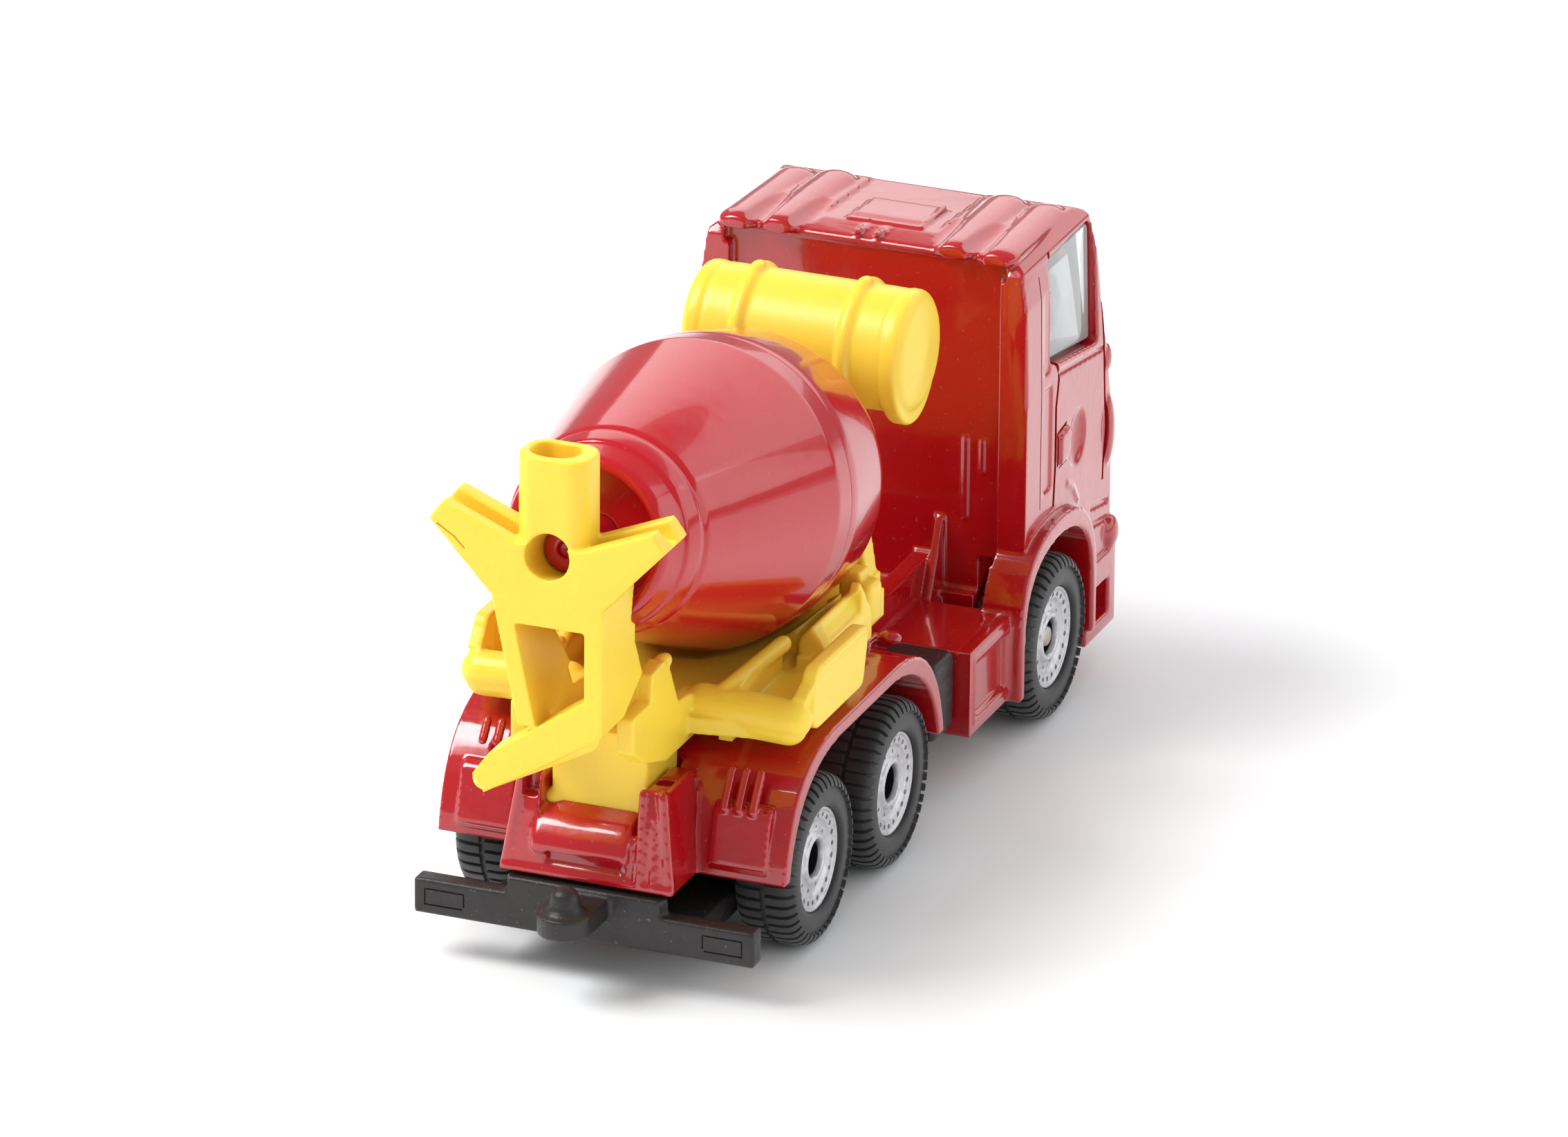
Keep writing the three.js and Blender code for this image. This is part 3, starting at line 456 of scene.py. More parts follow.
@dataclass
class Workshop:
    """Finishes meshes as pieces of the truck and keeps each finish's material."""

    materials: dict[str, bpy.types.Material] = field(default_factory=dict)
    triangles: int = 0

    def material(self, finish: Finish) -> bpy.types.Material:
        """The one material of a finish."""
        if finish.name not in self.materials:
            self.materials[finish.name] = finish.build()
        return self.materials[finish.name]

    def piece(
        self,
        name: str,
        bm: bmesh.types.BMesh,
        finish: Finish,
        body: Body,
        nodes: Sequence[str] = (),
        edge: float = 0.0,
        sharp: float = 32.0,
    ) -> bpy.types.Object:
        """Turns a mesh in millimetres into a finished piece.

        Args:
            name: the piece's name.
            bm: its mesh, which is freed.
            finish: its surface.
            body: the rigid body that it rides on.
            nodes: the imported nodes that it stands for.
            edge: radius of a live bevel along its sharp edges.
            sharp: the angle in degrees past which an edge counts as sharp.

        Returns:
            The piece.
        """
        into_frame = Matrix.Translation((REAR_AXLE_X, 0, 0)) @ Matrix.Scale(MM, 4)
        bmesh.ops.transform(bm, matrix=into_frame, verts=bm.verts[:])
        for face in bm.faces:
            face.smooth = True
        mesh = bpy.data.meshes.new(name)
        bm.to_mesh(mesh)
        bm.free()
        mesh.set_sharp_from_angle(angle=math.radians(sharp))
        thing = bpy.data.objects.new(name, mesh)
        bpy.context.scene.collection.objects.link(thing)
        mesh.materials.append(self.material(finish))
        if edge > 0:
            bevel = thing.modifiers.new("rounded_edges", "BEVEL")
            bevel.width = edge * MM
            bevel.segments = 3
            bevel.limit_method = "ANGLE"
            bevel.angle_limit = math.radians(sharp)
            bevel.use_clamp_overlap = True
            bevel.harden_normals = True
        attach(thing, body.value)
        if nodes:
            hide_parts(*nodes)
        self.triangles += len(mesh.polygons)
        LOG.info("%s: %d faces", name, len(mesh.polygons))
        return thing


def filleted(profile: Sequence[Point2], steps: int = 4) -> list[tuple[float, float]]:
    """Rounds the corners of an open profile.

    Args:
        profile: (a, b) or (a, b, how far back the rounding starts) points.
        steps: segments of a rounded corner.

    Returns:
        Plain (a, b) points.
    """
    points: list[tuple[float, float]] = []
    for i, corner in enumerate(profile):
        size = corner[2] if len(corner) > 2 else 0.0
        if size == 0.0 or i in (0, len(profile) - 1):
            points.append((corner[0], corner[1]))
            continue
        here = Vector(corner[:2])
        back = Vector(profile[i - 1][:2]) - here
        ahead = Vector(profile[i + 1][:2]) - here
        reach = min(size, back.length / 2, ahead.length / 2)
        start = here + back.normalized() * reach
        end = here + ahead.normalized() * reach
        for k in range(steps + 1):
            t = k / steps
            on_curve = start * (1 - t) ** 2 + here * (2 * t * (1 - t)) + end * t * t
            points.append((on_curve.x, on_curve.y))
    return points


def capsule(start: Point2, end: Point2, wide: float, high: float) -> bmesh.types.BMesh:
    """A lengthwise bar with domed ends, wide across Y and high across Z."""
    bm = bar(start, end, wide, 20)
    middle = (Vector(start) + Vector(end)) / 2
    bmesh.ops.translate(bm, verts=bm.verts[:], vec=-middle)
    bmesh.ops.scale(bm, verts=bm.verts[:], vec=(1, 1, high / wide))
    bmesh.ops.translate(bm, verts=bm.verts[:], vec=middle)
    return bm


def seam(points: Sequence[Point2], plane: Plane, depth: float, width: float) -> list[bmesh.types.BMesh]:
    """Thin round bars along a path in a plane, to cut a seam or raise a bead."""
    return path_bars([plane.place(a, b, depth) for a, b in points], width / 2)


def groove(
    points: Sequence[Point2], plane: Plane, low: float, high: float, width: float,
) -> bmesh.types.BMesh:
    """A ribbon of even width along a path in a plane, to carve a crisp seam.

    Args:
        points: corners of the path.
        plane: the plane that the path lies in.
        low: the depth of the seam's floor.
        high: the depth of the ribbon's other face, outside the surface.
        width: width of the seam.

    Returns:
        A closed mesh.
    """
    path = [Vector(point) for point in points]
    left, right = [], []
    for i, here in enumerate(path):
        into = (here - path[i - 1]).normalized() if i else (path[1] - here).normalized()
        out = (path[i + 1] - here).normalized() if i + 1 < len(path) else into
        across = Vector((-(into + out).y, (into + out).x)).normalized()
        reach = width / 2 / max(0.4, across.dot(Vector((-into.y, into.x))))
        left.append(here + across * reach)
        right.append(here - across * reach)
    return slab([tuple(p) for p in left + right[::-1]], plane, low, high)


def packed(node: str) -> bmesh.types.BMesh:
    """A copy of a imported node's mesh, in millimetres, with its vertices merged."""
    bm = bmesh.new()
    bm.from_mesh(bpy.data.objects[node].data)
    out_of_frame = Matrix.Scale(1 / MM, 4) @ Matrix.Translation((-REAR_AXLE_X, 0, 0))
    bmesh.ops.transform(bm, matrix=out_of_frame, verts=bm.verts[:])
    bmesh.ops.remove_doubles(bm, verts=bm.verts[:], dist=1e-3)
    return bm


def evaluated(thing: bpy.types.Object) -> bmesh.types.BMesh:
    """The mesh that a scratch object's modifiers make, removing the object."""
    result = bmesh.new()
    result.from_object(thing, bpy.context.evaluated_depsgraph_get())
    discard(thing)
    return result


def softened(
    solids: Iterable[bmesh.types.BMesh],
    cuts: Iterable[bmesh.types.BMesh] = (),
    voxel: float = 0.2,
    rounds: int = 5,
    limit: int = 120_000,
    carved: Sequence[bmesh.types.BMesh] = (),
) -> bmesh.types.BMesh:
    """Melts overlapping solids into one skin with rounded edges, as a casting or moulding has.

    Args:
        solids: closed meshes, which may overlap.
        cuts: closed meshes taken away from them.
        voxel: size of the remeshing's grid.
        rounds: rounds of smoothing, which set the radius of the edges.
        limit: most triangles in the result.
        carved: closed meshes that don't touch each other, cut crisply at the end.

    Returns:
        One closed mesh.
    """
    thing = holder(gathered(solids))
    cutters = list(cuts)
    tool = None
    if cutters:
        tool = holder(gathered(cutters))
        cut = thing.modifiers.new("cut", "BOOLEAN")
        cut.operation = "DIFFERENCE"
        cut.solver = "EXACT"
        cut.use_self = True
        cut.object = tool
    remesh = thing.modifiers.new("voxels", "REMESH")
    remesh.mode = "VOXEL"
    remesh.voxel_size = voxel
    smooth = thing.modifiers.new("smooth", "SMOOTH")
    smooth.factor = 0.5
    smooth.iterations = rounds
    dense = evaluated(thing)
    if tool:
        discard(tool)
    share = min(1.0, limit / (2 * max(1, len(dense.faces))))
    if share < 1:
        thing = holder(dense)
        fewer = thing.modifiers.new("fewer", "DECIMATE")
        fewer.ratio = share
        dense = evaluated(thing)
    return combined(dense, removed=[gathered(carved)]) if carved else dense


# ---------------------------------------------------------------- wheels


@dataclass(frozen=True)
class Wheelset:
    """An axle with a wheel at each end.

    Args:
        name: the start of the names of its nodes.
        body: the rigid body that it rides on.
        x: place of the axle.
        track: middle of a tyre from the middle plane.
        recess: end of the axle behind the face of a disc.
    """

    name: str
    body: Body
    x: float
    track: float
    recess: float
    radius: float = 6.4
    half_width: float = 2.15
    rim_radius: float = 3.9
    rim_half: float = 1.75
    axle_radius: float = 0.8
    lugs: int = 44
    lug_depth: float = 0.28
    rings: tuple[tuple[float, int, float], ...] = ((3.25, 22, 0.2), (2.35, 10, 0.15))

    def outward(self, side: int) -> Matrix:
        """Places a wheel made about Z, with Z facing outwards on a side."""
        turn = Matrix.Rotation(-side * math.pi / 2, 4, "X")
        return Matrix.Translation((self.x, side * self.track, self.radius)) @ turn

    def tyre(self, side: int) -> bmesh.types.BMesh:
        """A tyre with finger-like lugs over both shoulders and a broken groove in the middle."""
        w = self.half_width
        crown = self.radius - 0.34
        bead = self.rim_radius + 0.02
        profile = filleted([
            (bead, -1.3), (bead, -w, 0.4), (4.7, -w, 0.3), (5.15, -w + 0.06, 0.2),
            (5.55, -w + 0.12, 0.1), (crown - 0.12, -w + 0.38, 0.3), (crown, -1.15), (crown, -0.16),
            (crown, 0.16), (crown, 1.15),
            (crown - 0.12, w - 0.38, 0.3), (5.55, w - 0.12, 0.1), (5.15, w - 0.06, 0.2), (4.7, w, 0.3),
            (bead, w, 0.4), (bead, 1.3), (bead, -1.3),
        ], 3)
        bm = turned(profile, Matrix.Identity(4), 4 * self.lugs)
        step = math.tau / (4 * self.lugs)
        chosen = []
        for face in bm.faces:
            middle = face.calc_center_median()
            reach = math.hypot(middle.x, middle.y)
            if reach < 5.3 or abs(middle.z) < 0.17:
                continue
            place = int((math.atan2(middle.y, middle.x) % math.tau) / step)
            if (place + (2 if middle.z > 0 else 0)) % 4 != 0:
                chosen.append(face)
        bmesh.ops.inset_region(
            bm, faces=chosen, use_boundary=True, use_even_offset=True, thickness=0.04,
            depth=self.lug_depth,
        )
        bmesh.ops.transform(bm, matrix=self.outward(side), verts=bm.verts[:])
        return bm

    def rim(self, side: int) -> bmesh.types.BMesh:
        """A dished disc with two rings of round holes and a recessed hub."""
        face = self.rim_half
        edge = self.rim_radius
        profile = filleted([
            (self.axle_radius + 0.04, -face), (self.axle_radius + 0.04, 0.2), (1.3, 0.2, 0.1),
            (1.4, face - 0.25, 0.15), (1.55, face - 0.02, 0.2), (1.85, face - 0.1, 0.15),
            (2.0, face - 0.35, 0.15), (2.7, face - 0.42, 0.2), (2.95, face - 0.16, 0.15),
            (3.55, face - 0.1, 0.1), (3.66, face + 0.06, 0.08), (edge - 0.04, face + 0.06, 0.1),
            (edge - 0.02, face - 0.3), (edge - 0.02, -face), (self.axle_radius + 0.04, -face),
        ], 3)
        disc = turned(profile, Matrix.Identity(4), 88)
        holes = []
        for radius, count, size in self.rings:
            for k in range(count):
                angle = math.tau * k / count
                x, y = radius * math.cos(angle), radius * math.sin(angle)
                holes.append(bar((x, y, face - 0.55), (x, y, face + 0.6), size, 10))
        disc = combined(disc, removed=[gathered(holes)])
        bmesh.ops.transform(disc, matrix=self.outward(side), verts=disc.verts[:])
        return disc

    def hub_shade_ring(self, side: int) -> bmesh.types.BMesh:
        """A near-black ring in the hub's recess, round the end of the axle or over it: painted shade that
        darkens the recess.
        """
        low, inner, outer = 0.22, self.axle_radius + 0.03, 1.29
        top = self.rim_half - 0.45
        if self.rim_half - self.recess < low:
            cap = [(0.0, low), (0.0, low + 0.3), (0.5, low + 0.3, 0.1), (0.62, low + 0.55, 0.1),
                   (0.9, low + 0.5, 0.1), (outer - 0.12, low + 0.3, 0.1), (outer - 0.1, top),
                   (outer, top), (outer, low), (0.0, low)]
            return turned(filleted(cap), self.outward(side), 48)
        profile = filleted([
            (inner, low), (inner, low + 0.28, 0.08), (inner + 0.18, low + 0.4, 0.08),
            (outer - 0.12, low + 0.4, 0.08), (outer - 0.1, top), (outer, top), (outer, low), (inner, low),
        ])
        return turned(profile, self.outward(side), 48)

    def axle(self) -> bmesh.types.BMesh:
        """A cut wire with peened, slightly domed ends."""
        end = self.track + self.rim_half - self.recess
        r = self.axle_radius
        half = [(r, 0.0), (r, end - 2.2), (r - 0.05, end - 2.0), (r, end - 1.8), (r, end - 0.25, 0.15),
                (r - 0.15, end - 0.06, 0.1), (0.0, end)]
        right = [(p[0], -p[1], *p[2:]) for p in reversed(half)]
        place = Matrix.Translation((self.x, 0, self.radius)) @ Matrix.Rotation(-math.pi / 2, 4, "X")
        return turned(filleted(right + half[1:], 3), place, 40)

    def build(self, shop: Workshop) -> None:
        """Makes the axle, two discs, two tyres and the two near-black rings of painted shade in the hubs.
        """
        for side, word in ((1, "left"), (-1, "right")):
            node = f"{self.name}_{word}"
            shop.piece(
                f"{node}_tyre_tread", self.tyre(side), TYRE_RUBBER, self.body, [f"{node}_tyre"], sharp=50,
            )
            # Painted shade: a near-black ring that darkens each hub's recess.
            shop.piece(f"{node}_washer", self.hub_shade_ring(side), HUB_SHADOW, self.body, sharp=40)
            shop.piece(
                f"{node}_disc", self.rim(side), SILVER_PLASTIC, self.body, [f"{node}_rim"], sharp=40,
            )
        shop.piece(f"{self.name}_wire", self.axle(), STEEL, self.body, [f"{self.name}_axle"], sharp=50)


# ---------------------------------------------------------------- drum


@dataclass(frozen=True)
class Drum:
    """The two glossy shells of the mixing drum, which turn about a tilted axis."""

    x: float = 9.0
    z: float = 29.6
    tilt: float = math.radians(11)
    radius: float = 11.4
    belt: float = 2.3
    neck: float = 7.4
    neck_reach: float = 18.3
    mouth: float = 5.9
    mouth_reach: float = 22.6
    web: float = 19.2
    journal: float = 1.57
    journal_reach: float = 26.4
    front_journal: float = 1.2
    shoulder: float = 10.6
    shoulder_reach: float = 8.8
    dome: float = 5.0
    dome_reach: float = 13.4
    sides: int = 128

    def place(self) -> Matrix:
        """Puts a body made about Z on the drum's axis, with Z towards the mouth."""
        along = Vector((-math.cos(self.tilt), 0, math.sin(self.tilt)))
        turn = along.to_track_quat("Z", "Y").to_matrix().to_4x4()
        return Matrix.Translation((self.x, 0, self.z)) @ turn

    def rear(self) -> bmesh.types.BMesh:
        """The rear cone, its stepped neck, the closed mouth and the journal."""
        profile = filleted([
            (self.radius, 0.0), (self.radius, self.belt, 0.3),
            (self.neck + 0.12, self.neck_reach - 0.4, 0.25), (self.neck - 0.14, self.neck_reach, 0.12),
            (self.neck - 0.1, self.neck_reach + 0.4, 0.15), (self.neck - 0.5, self.neck_reach + 1.9, 0.2),
            (self.neck - 0.75, self.neck_reach + 2.1, 0.15),
            (self.mouth + 0.25, self.mouth_reach - 0.35, 0.3), (self.mouth, self.mouth_reach, 0.25),
            (self.mouth - 0.7, self.mouth_reach, 0.3), (self.mouth - 1.0, self.web + 1.0, 0.3),
            (self.journal, self.web + 0.9, 0.2),
            (self.journal, self.journal_reach, 0.3), (0.6, self.journal_reach, 0.2),
            (0.5, self.journal_reach - 0.5, 0.1),
            (0.0, self.journal_reach - 0.55), (0.0, self.web), (self.neck - 1.4, self.web, 0.3),
            (self.radius - 1.0, self.belt, 0.3), (self.radius - 1.0, 0.0), (self.radius, 0.0),
        ])
        return turned(profile, self.place(), self.sides)

    def front(self) -> bmesh.types.BMesh:
        """The front cone, its dome and the front journal."""
        end = self.dome_reach + 2.3
        profile = filleted([
            (0.0, -end), (self.front_journal - 0.05, -end, 0.3),
            (self.front_journal - 0.05, -self.dome_reach - 0.3, 0.1),
            (1.6, -self.dome_reach - 0.28, 0.1), (1.8, -self.dome_reach, 0.1),
            (self.dome, -self.dome_reach + 0.05, 1.2),
            (self.shoulder - 1.5, -self.shoulder_reach - 2.1, 2.2),
            (self.shoulder, -self.shoulder_reach, 1.4), (self.radius, -1.2, 0.4),
            (self.radius, -0.06, 0.05),
            (self.radius - 1.0, -0.06), (self.shoulder - 1.0, -self.shoulder_reach, 0.4),
            (self.dome - 0.4, -self.dome_reach + 1.0, 0.4), (0.0, -self.dome_reach + 1.0),
        ])
        return turned(profile, self.place(), self.sides)

    def build(self, shop: Workshop) -> None:
        """Makes the two shells."""
        for end, shell in (("rear", self.rear), ("front", self.front)):
            shop.piece(
                f"drum_{end}_cone", shell(), RED_PLASTIC, Body.DRUM, [f"drum_{end}_shell"], sharp=60,
            )


# ---------------------------------------------------------------- yellow mouldings


@dataclass(frozen=True)
class Tank:
    """The water tank: a barrel with two bands and a drooping plate near each end."""

    x: float = 29.6
    z: float = 34.05
    radius: float = 4.6
    half: float = 8.7
    band_place: float = 4.2
    band_rise: float = 0.42
    droop: float = 0.9

    def barrel(self) -> bmesh.types.BMesh:
        """The barrel with its bands and softly domed ends."""
        r, b = self.radius, self.band_place
        half = [
            (r, 0.0), (r, b - 0.55, 0.15), (r + self.band_rise, b - 0.28, 0.25),
            (r + self.band_rise, b + 0.28, 0.25), (r, b + 0.55, 0.15), (r - 0.02, self.half - 1.75, 0.1),
            (r - 0.16, self.half - 1.6, 0.08), (r + 0.04, self.half - 1.4, 0.12),
            (r + 0.04, self.half - 0.55, 0.3),
            (r - 0.65, self.half - 0.02, 0.4), (0.0, self.half + 0.42),
        ]
        right = [(p[0], -p[1], *p[2:]) for p in reversed(half)]
        place = Matrix.Translation((self.x, 0, self.z)) @ Matrix.Rotation(-math.pi / 2, 4, "X")
        return turned(filleted(right + half[1:]), place, 96)

    def end_plate(self) -> bmesh.types.BMesh:
        """A round plate that hangs a little below the barrel."""
        points = []
        for k in range(48):
            angle = math.tau * k / 48
            c, s = math.cos(angle), math.sin(angle)
            drop = self.droop * max(0.0, -s) ** 1.5
            points.append((self.x + self.radius * c, self.z + self.radius * s - drop))
        return slab(points, Plane.SIDE, self.half - 1.7, self.half - 0.35, edge=0.3)

    def build(self, shop: Workshop) -> None:
        """Makes the tank."""
        nubs = [ball((self.x, side * self.band_place, self.z + self.radius + 0.3), (1.0, 0.5, 0.35))
                for side in (1, -1)]
        parts = [self.barrel(), *both(self.end_plate()), *nubs]
        tank = softened(parts, voxel=0.13, rounds=3, limit=110_000)
        shop.piece("water_tank_barrel", tank, YELLOW_PLASTIC, Body.TRUCK, ["water_tank"], sharp=180)


@dataclass(frozen=True)
class Tower:
    """The rear tower: hopper tube, Y-shaped arms, two legs and the chute."""

    rear: float = -20.185
    front: float = -15.985
    hub_z: float = 35.27
    bore: float = 1.7
    slope: float = math.tan(math.radians(11))

    def build(self, shop: Workshop) -> None:
        """Makes the tower."""
        x0, hub = self.rear, self.hub_z
        wall = [
            (7.95, hub + 3.0, 0.3), (8.95, hub + 1.65, 0.3), (4.2, hub - 2.4), (2.0, hub - 2.4),
            (2.0, hub + 0.55),
        ]
        walls = [
            *both(slab(wall, Plane.CROSS, x0 - 0.04, x0 + 1.3, 0.12)),
            *both(slab(wall, Plane.CROSS, self.front - 1.3, self.front + 0.04, 0.12)),
        ]
        tube = slab([
            (x0 + 0.3, 2.72, 1.5), (x0 + 0.3, -2.75, 1.5), (x0 + 4.3, -2.75, 1.5), (x0 + 4.3, 2.72, 1.5),
        ], Plane.FLOOR, hub - 0.8, hub + 7.25, 0.25, 8)
        reach = 9.0
        bore = bar(
            (x0 - 3, 0, hub + 3 * self.slope), (x0 + reach, 0, hub - reach * self.slope), self.bore, 40,
        )
        inside = slab([
            (x0 + 1.1, 2.05, 1.1), (x0 + 1.1, -1.5, 1.1), (x0 + 3.75, -1.5, 1.1), (x0 + 3.75, 2.05, 1.1),
        ], Plane.FLOOR, hub + 2.9, hub + 9, 0.0, 8)
        dish = ball((x0 + 2.4, 0.3, hub + 7.5), (1.75, 2.2, 0.6))
        collar = ball((x0 + 2.3, 0, hub - 2.9), (1.9, 3.0, 1.3))
        chute = [bar((x0 + 1.2, 5.1, 17.35), (x0 + 1.2, -2.6, 21.4), 0.95),
                 bar((x0 + 1.2, 5.1, 17.35), (x0 + 1.2, 1.5, 19.9), 0.9)]
        notch = brick((x0 + 1.9, self.front - 1.4, 7.7, 12, hub + 1.5, hub + 5), 0.2)
        fold = [(8.3, hub + 1.35), (7.0, hub + 0.55), (6.2, hub - 0.25)]
        step = groove(fold, Plane.CROSS, x0 + 0.22, x0 - 1, 0.13)
        body = softened(
            [packed("rear_tower"), *walls, tube, collar, *chute], [inside, dish, bore, *both(notch)],
            voxel=0.12, rounds=4, limit=150_000, carved=[step],
        )
        shop.piece("rear_tower_moulding", body, YELLOW_PLASTIC, Body.TRUCK, ["rear_tower"], sharp=55)


@dataclass(frozen=True)
class Cradle:
    """The drum cradle: floor, flared side panels, horns, pedestal and the front upright."""

    rear: float = -3.7
    wide: float = 8.0
    gap: float = 0.55

    def drum_room(self) -> bmesh.types.BMesh:
        """The space that the drum turns in, with its clearance."""
        drum, gap = Drum(), self.gap
        profile = [
            (0.0, -drum.dome_reach - gap), (drum.dome + gap, -drum.dome_reach - gap),
            (drum.shoulder - 0.6, -drum.shoulder_reach - 1.6),
            (drum.shoulder + gap, -drum.shoulder_reach), (drum.radius + gap, 0.0),
            (drum.radius + gap, drum.belt), (drum.neck + gap, drum.neck_reach), (0.0, drum.neck_reach),
        ]
        return turned(profile, drum.place(), 64)

    def build(self, shop: Workshop) -> None:
        """Makes the cradle."""
        rear, wide = self.rear, self.wide
        left = [
            bar((rear + 0.3, 6.6, 19.7), (wide - 3.2, 7.9, 20.5), 0.66),
            slab([(rear + 0.3, 18), (wide - 3.0, 18), (wide - 2.9, 20.4), (rear + 0.3, 19.6)],
                 Plane.SIDE, 6.7, 7.9, 0.2),
            slab([(8.25, 17.2), (10.5, 17.2), (10.5, 19.5, 0.4), (9.35, 21.4, 0.4), (8.25, 20.1, 0.3)],
                 Plane.CROSS, wide - 1.4, 15.9, 0.35),
            bar((rear + 0.1, 5.2, 18.1), (rear + 0.1, 11.8, 17.9), 1.3, 20),
            bar((rear + 0.1, 5.2, 18.75), (rear + 0.1, 12.0, 18.55), 1.45, 20),
            brick((17.0, 19.6, 8.1, 9.9, 17.1, 20.5), 0.6, 5),
            slab([(12.6, 19.6), (13.9, 22.3, 0.3), (15.3, 20.6, 0.3), (15.6, 19.6)],
                 Plane.SIDE, 9.45, 10.3, 0.2),
            slab([(rear + 0.9, 17.25, 1.5), (wide - 0.9, 17.25, 1.0), (wide + 0.1, 20.8, 1.0),
                  (wide - 0.4, 21.9, 0.6), (rear + 1.5, 22.0, 0.9)], Plane.SIDE, 12.15, 13.25, 0.3),
        ]
        hollow = [
            slab([(rear + 2.3, 18.5, 0.5), (wide - 1.7, 18.5, 0.5), (wide - 1.5, 20.6, 0.6),
                  (rear + 2.6, 20.6, 0.6)], Plane.SIDE, 11.0, 12.15, 0.1),
            slab([(9.45, 20.75), (10.05, 19.75), (11.2, 20.4), (10.3, 21.6)],
                 Plane.CROSS, wide + 0.2, 14.2),
            brick((16.2, 22.0, 6.0, 12.0, 21.1, 25.0), 0.1),
            brick((wide - 2.9, wide + 0.1, 6.3, 7.95, 18.6, 24.0), 0.1),
        ]
        horn_tops = [ball((-8.6, side * 4.05, 23.6), (1.2, 0.62, 0.6)) for side in (1, -1)]
        nub = ball((-10.0, 3.6, 12.6), (0.8, 0.9, 0.7))
        parts = [packed("drum_cradle"), *horn_tops, nub]
        for part in left:
            parts += both(part)
        away = [self.drum_room()]
        for part in hollow:
            away += both(part)
        body = softened(parts, away, voxel=0.15, rounds=4, limit=190_000)
        shop.piece("drum_cradle_moulding", body, YELLOW_PLASTIC, Body.TRUCK, ["drum_cradle"], sharp=180)


# ---------------------------------------------------------------- die-cast body


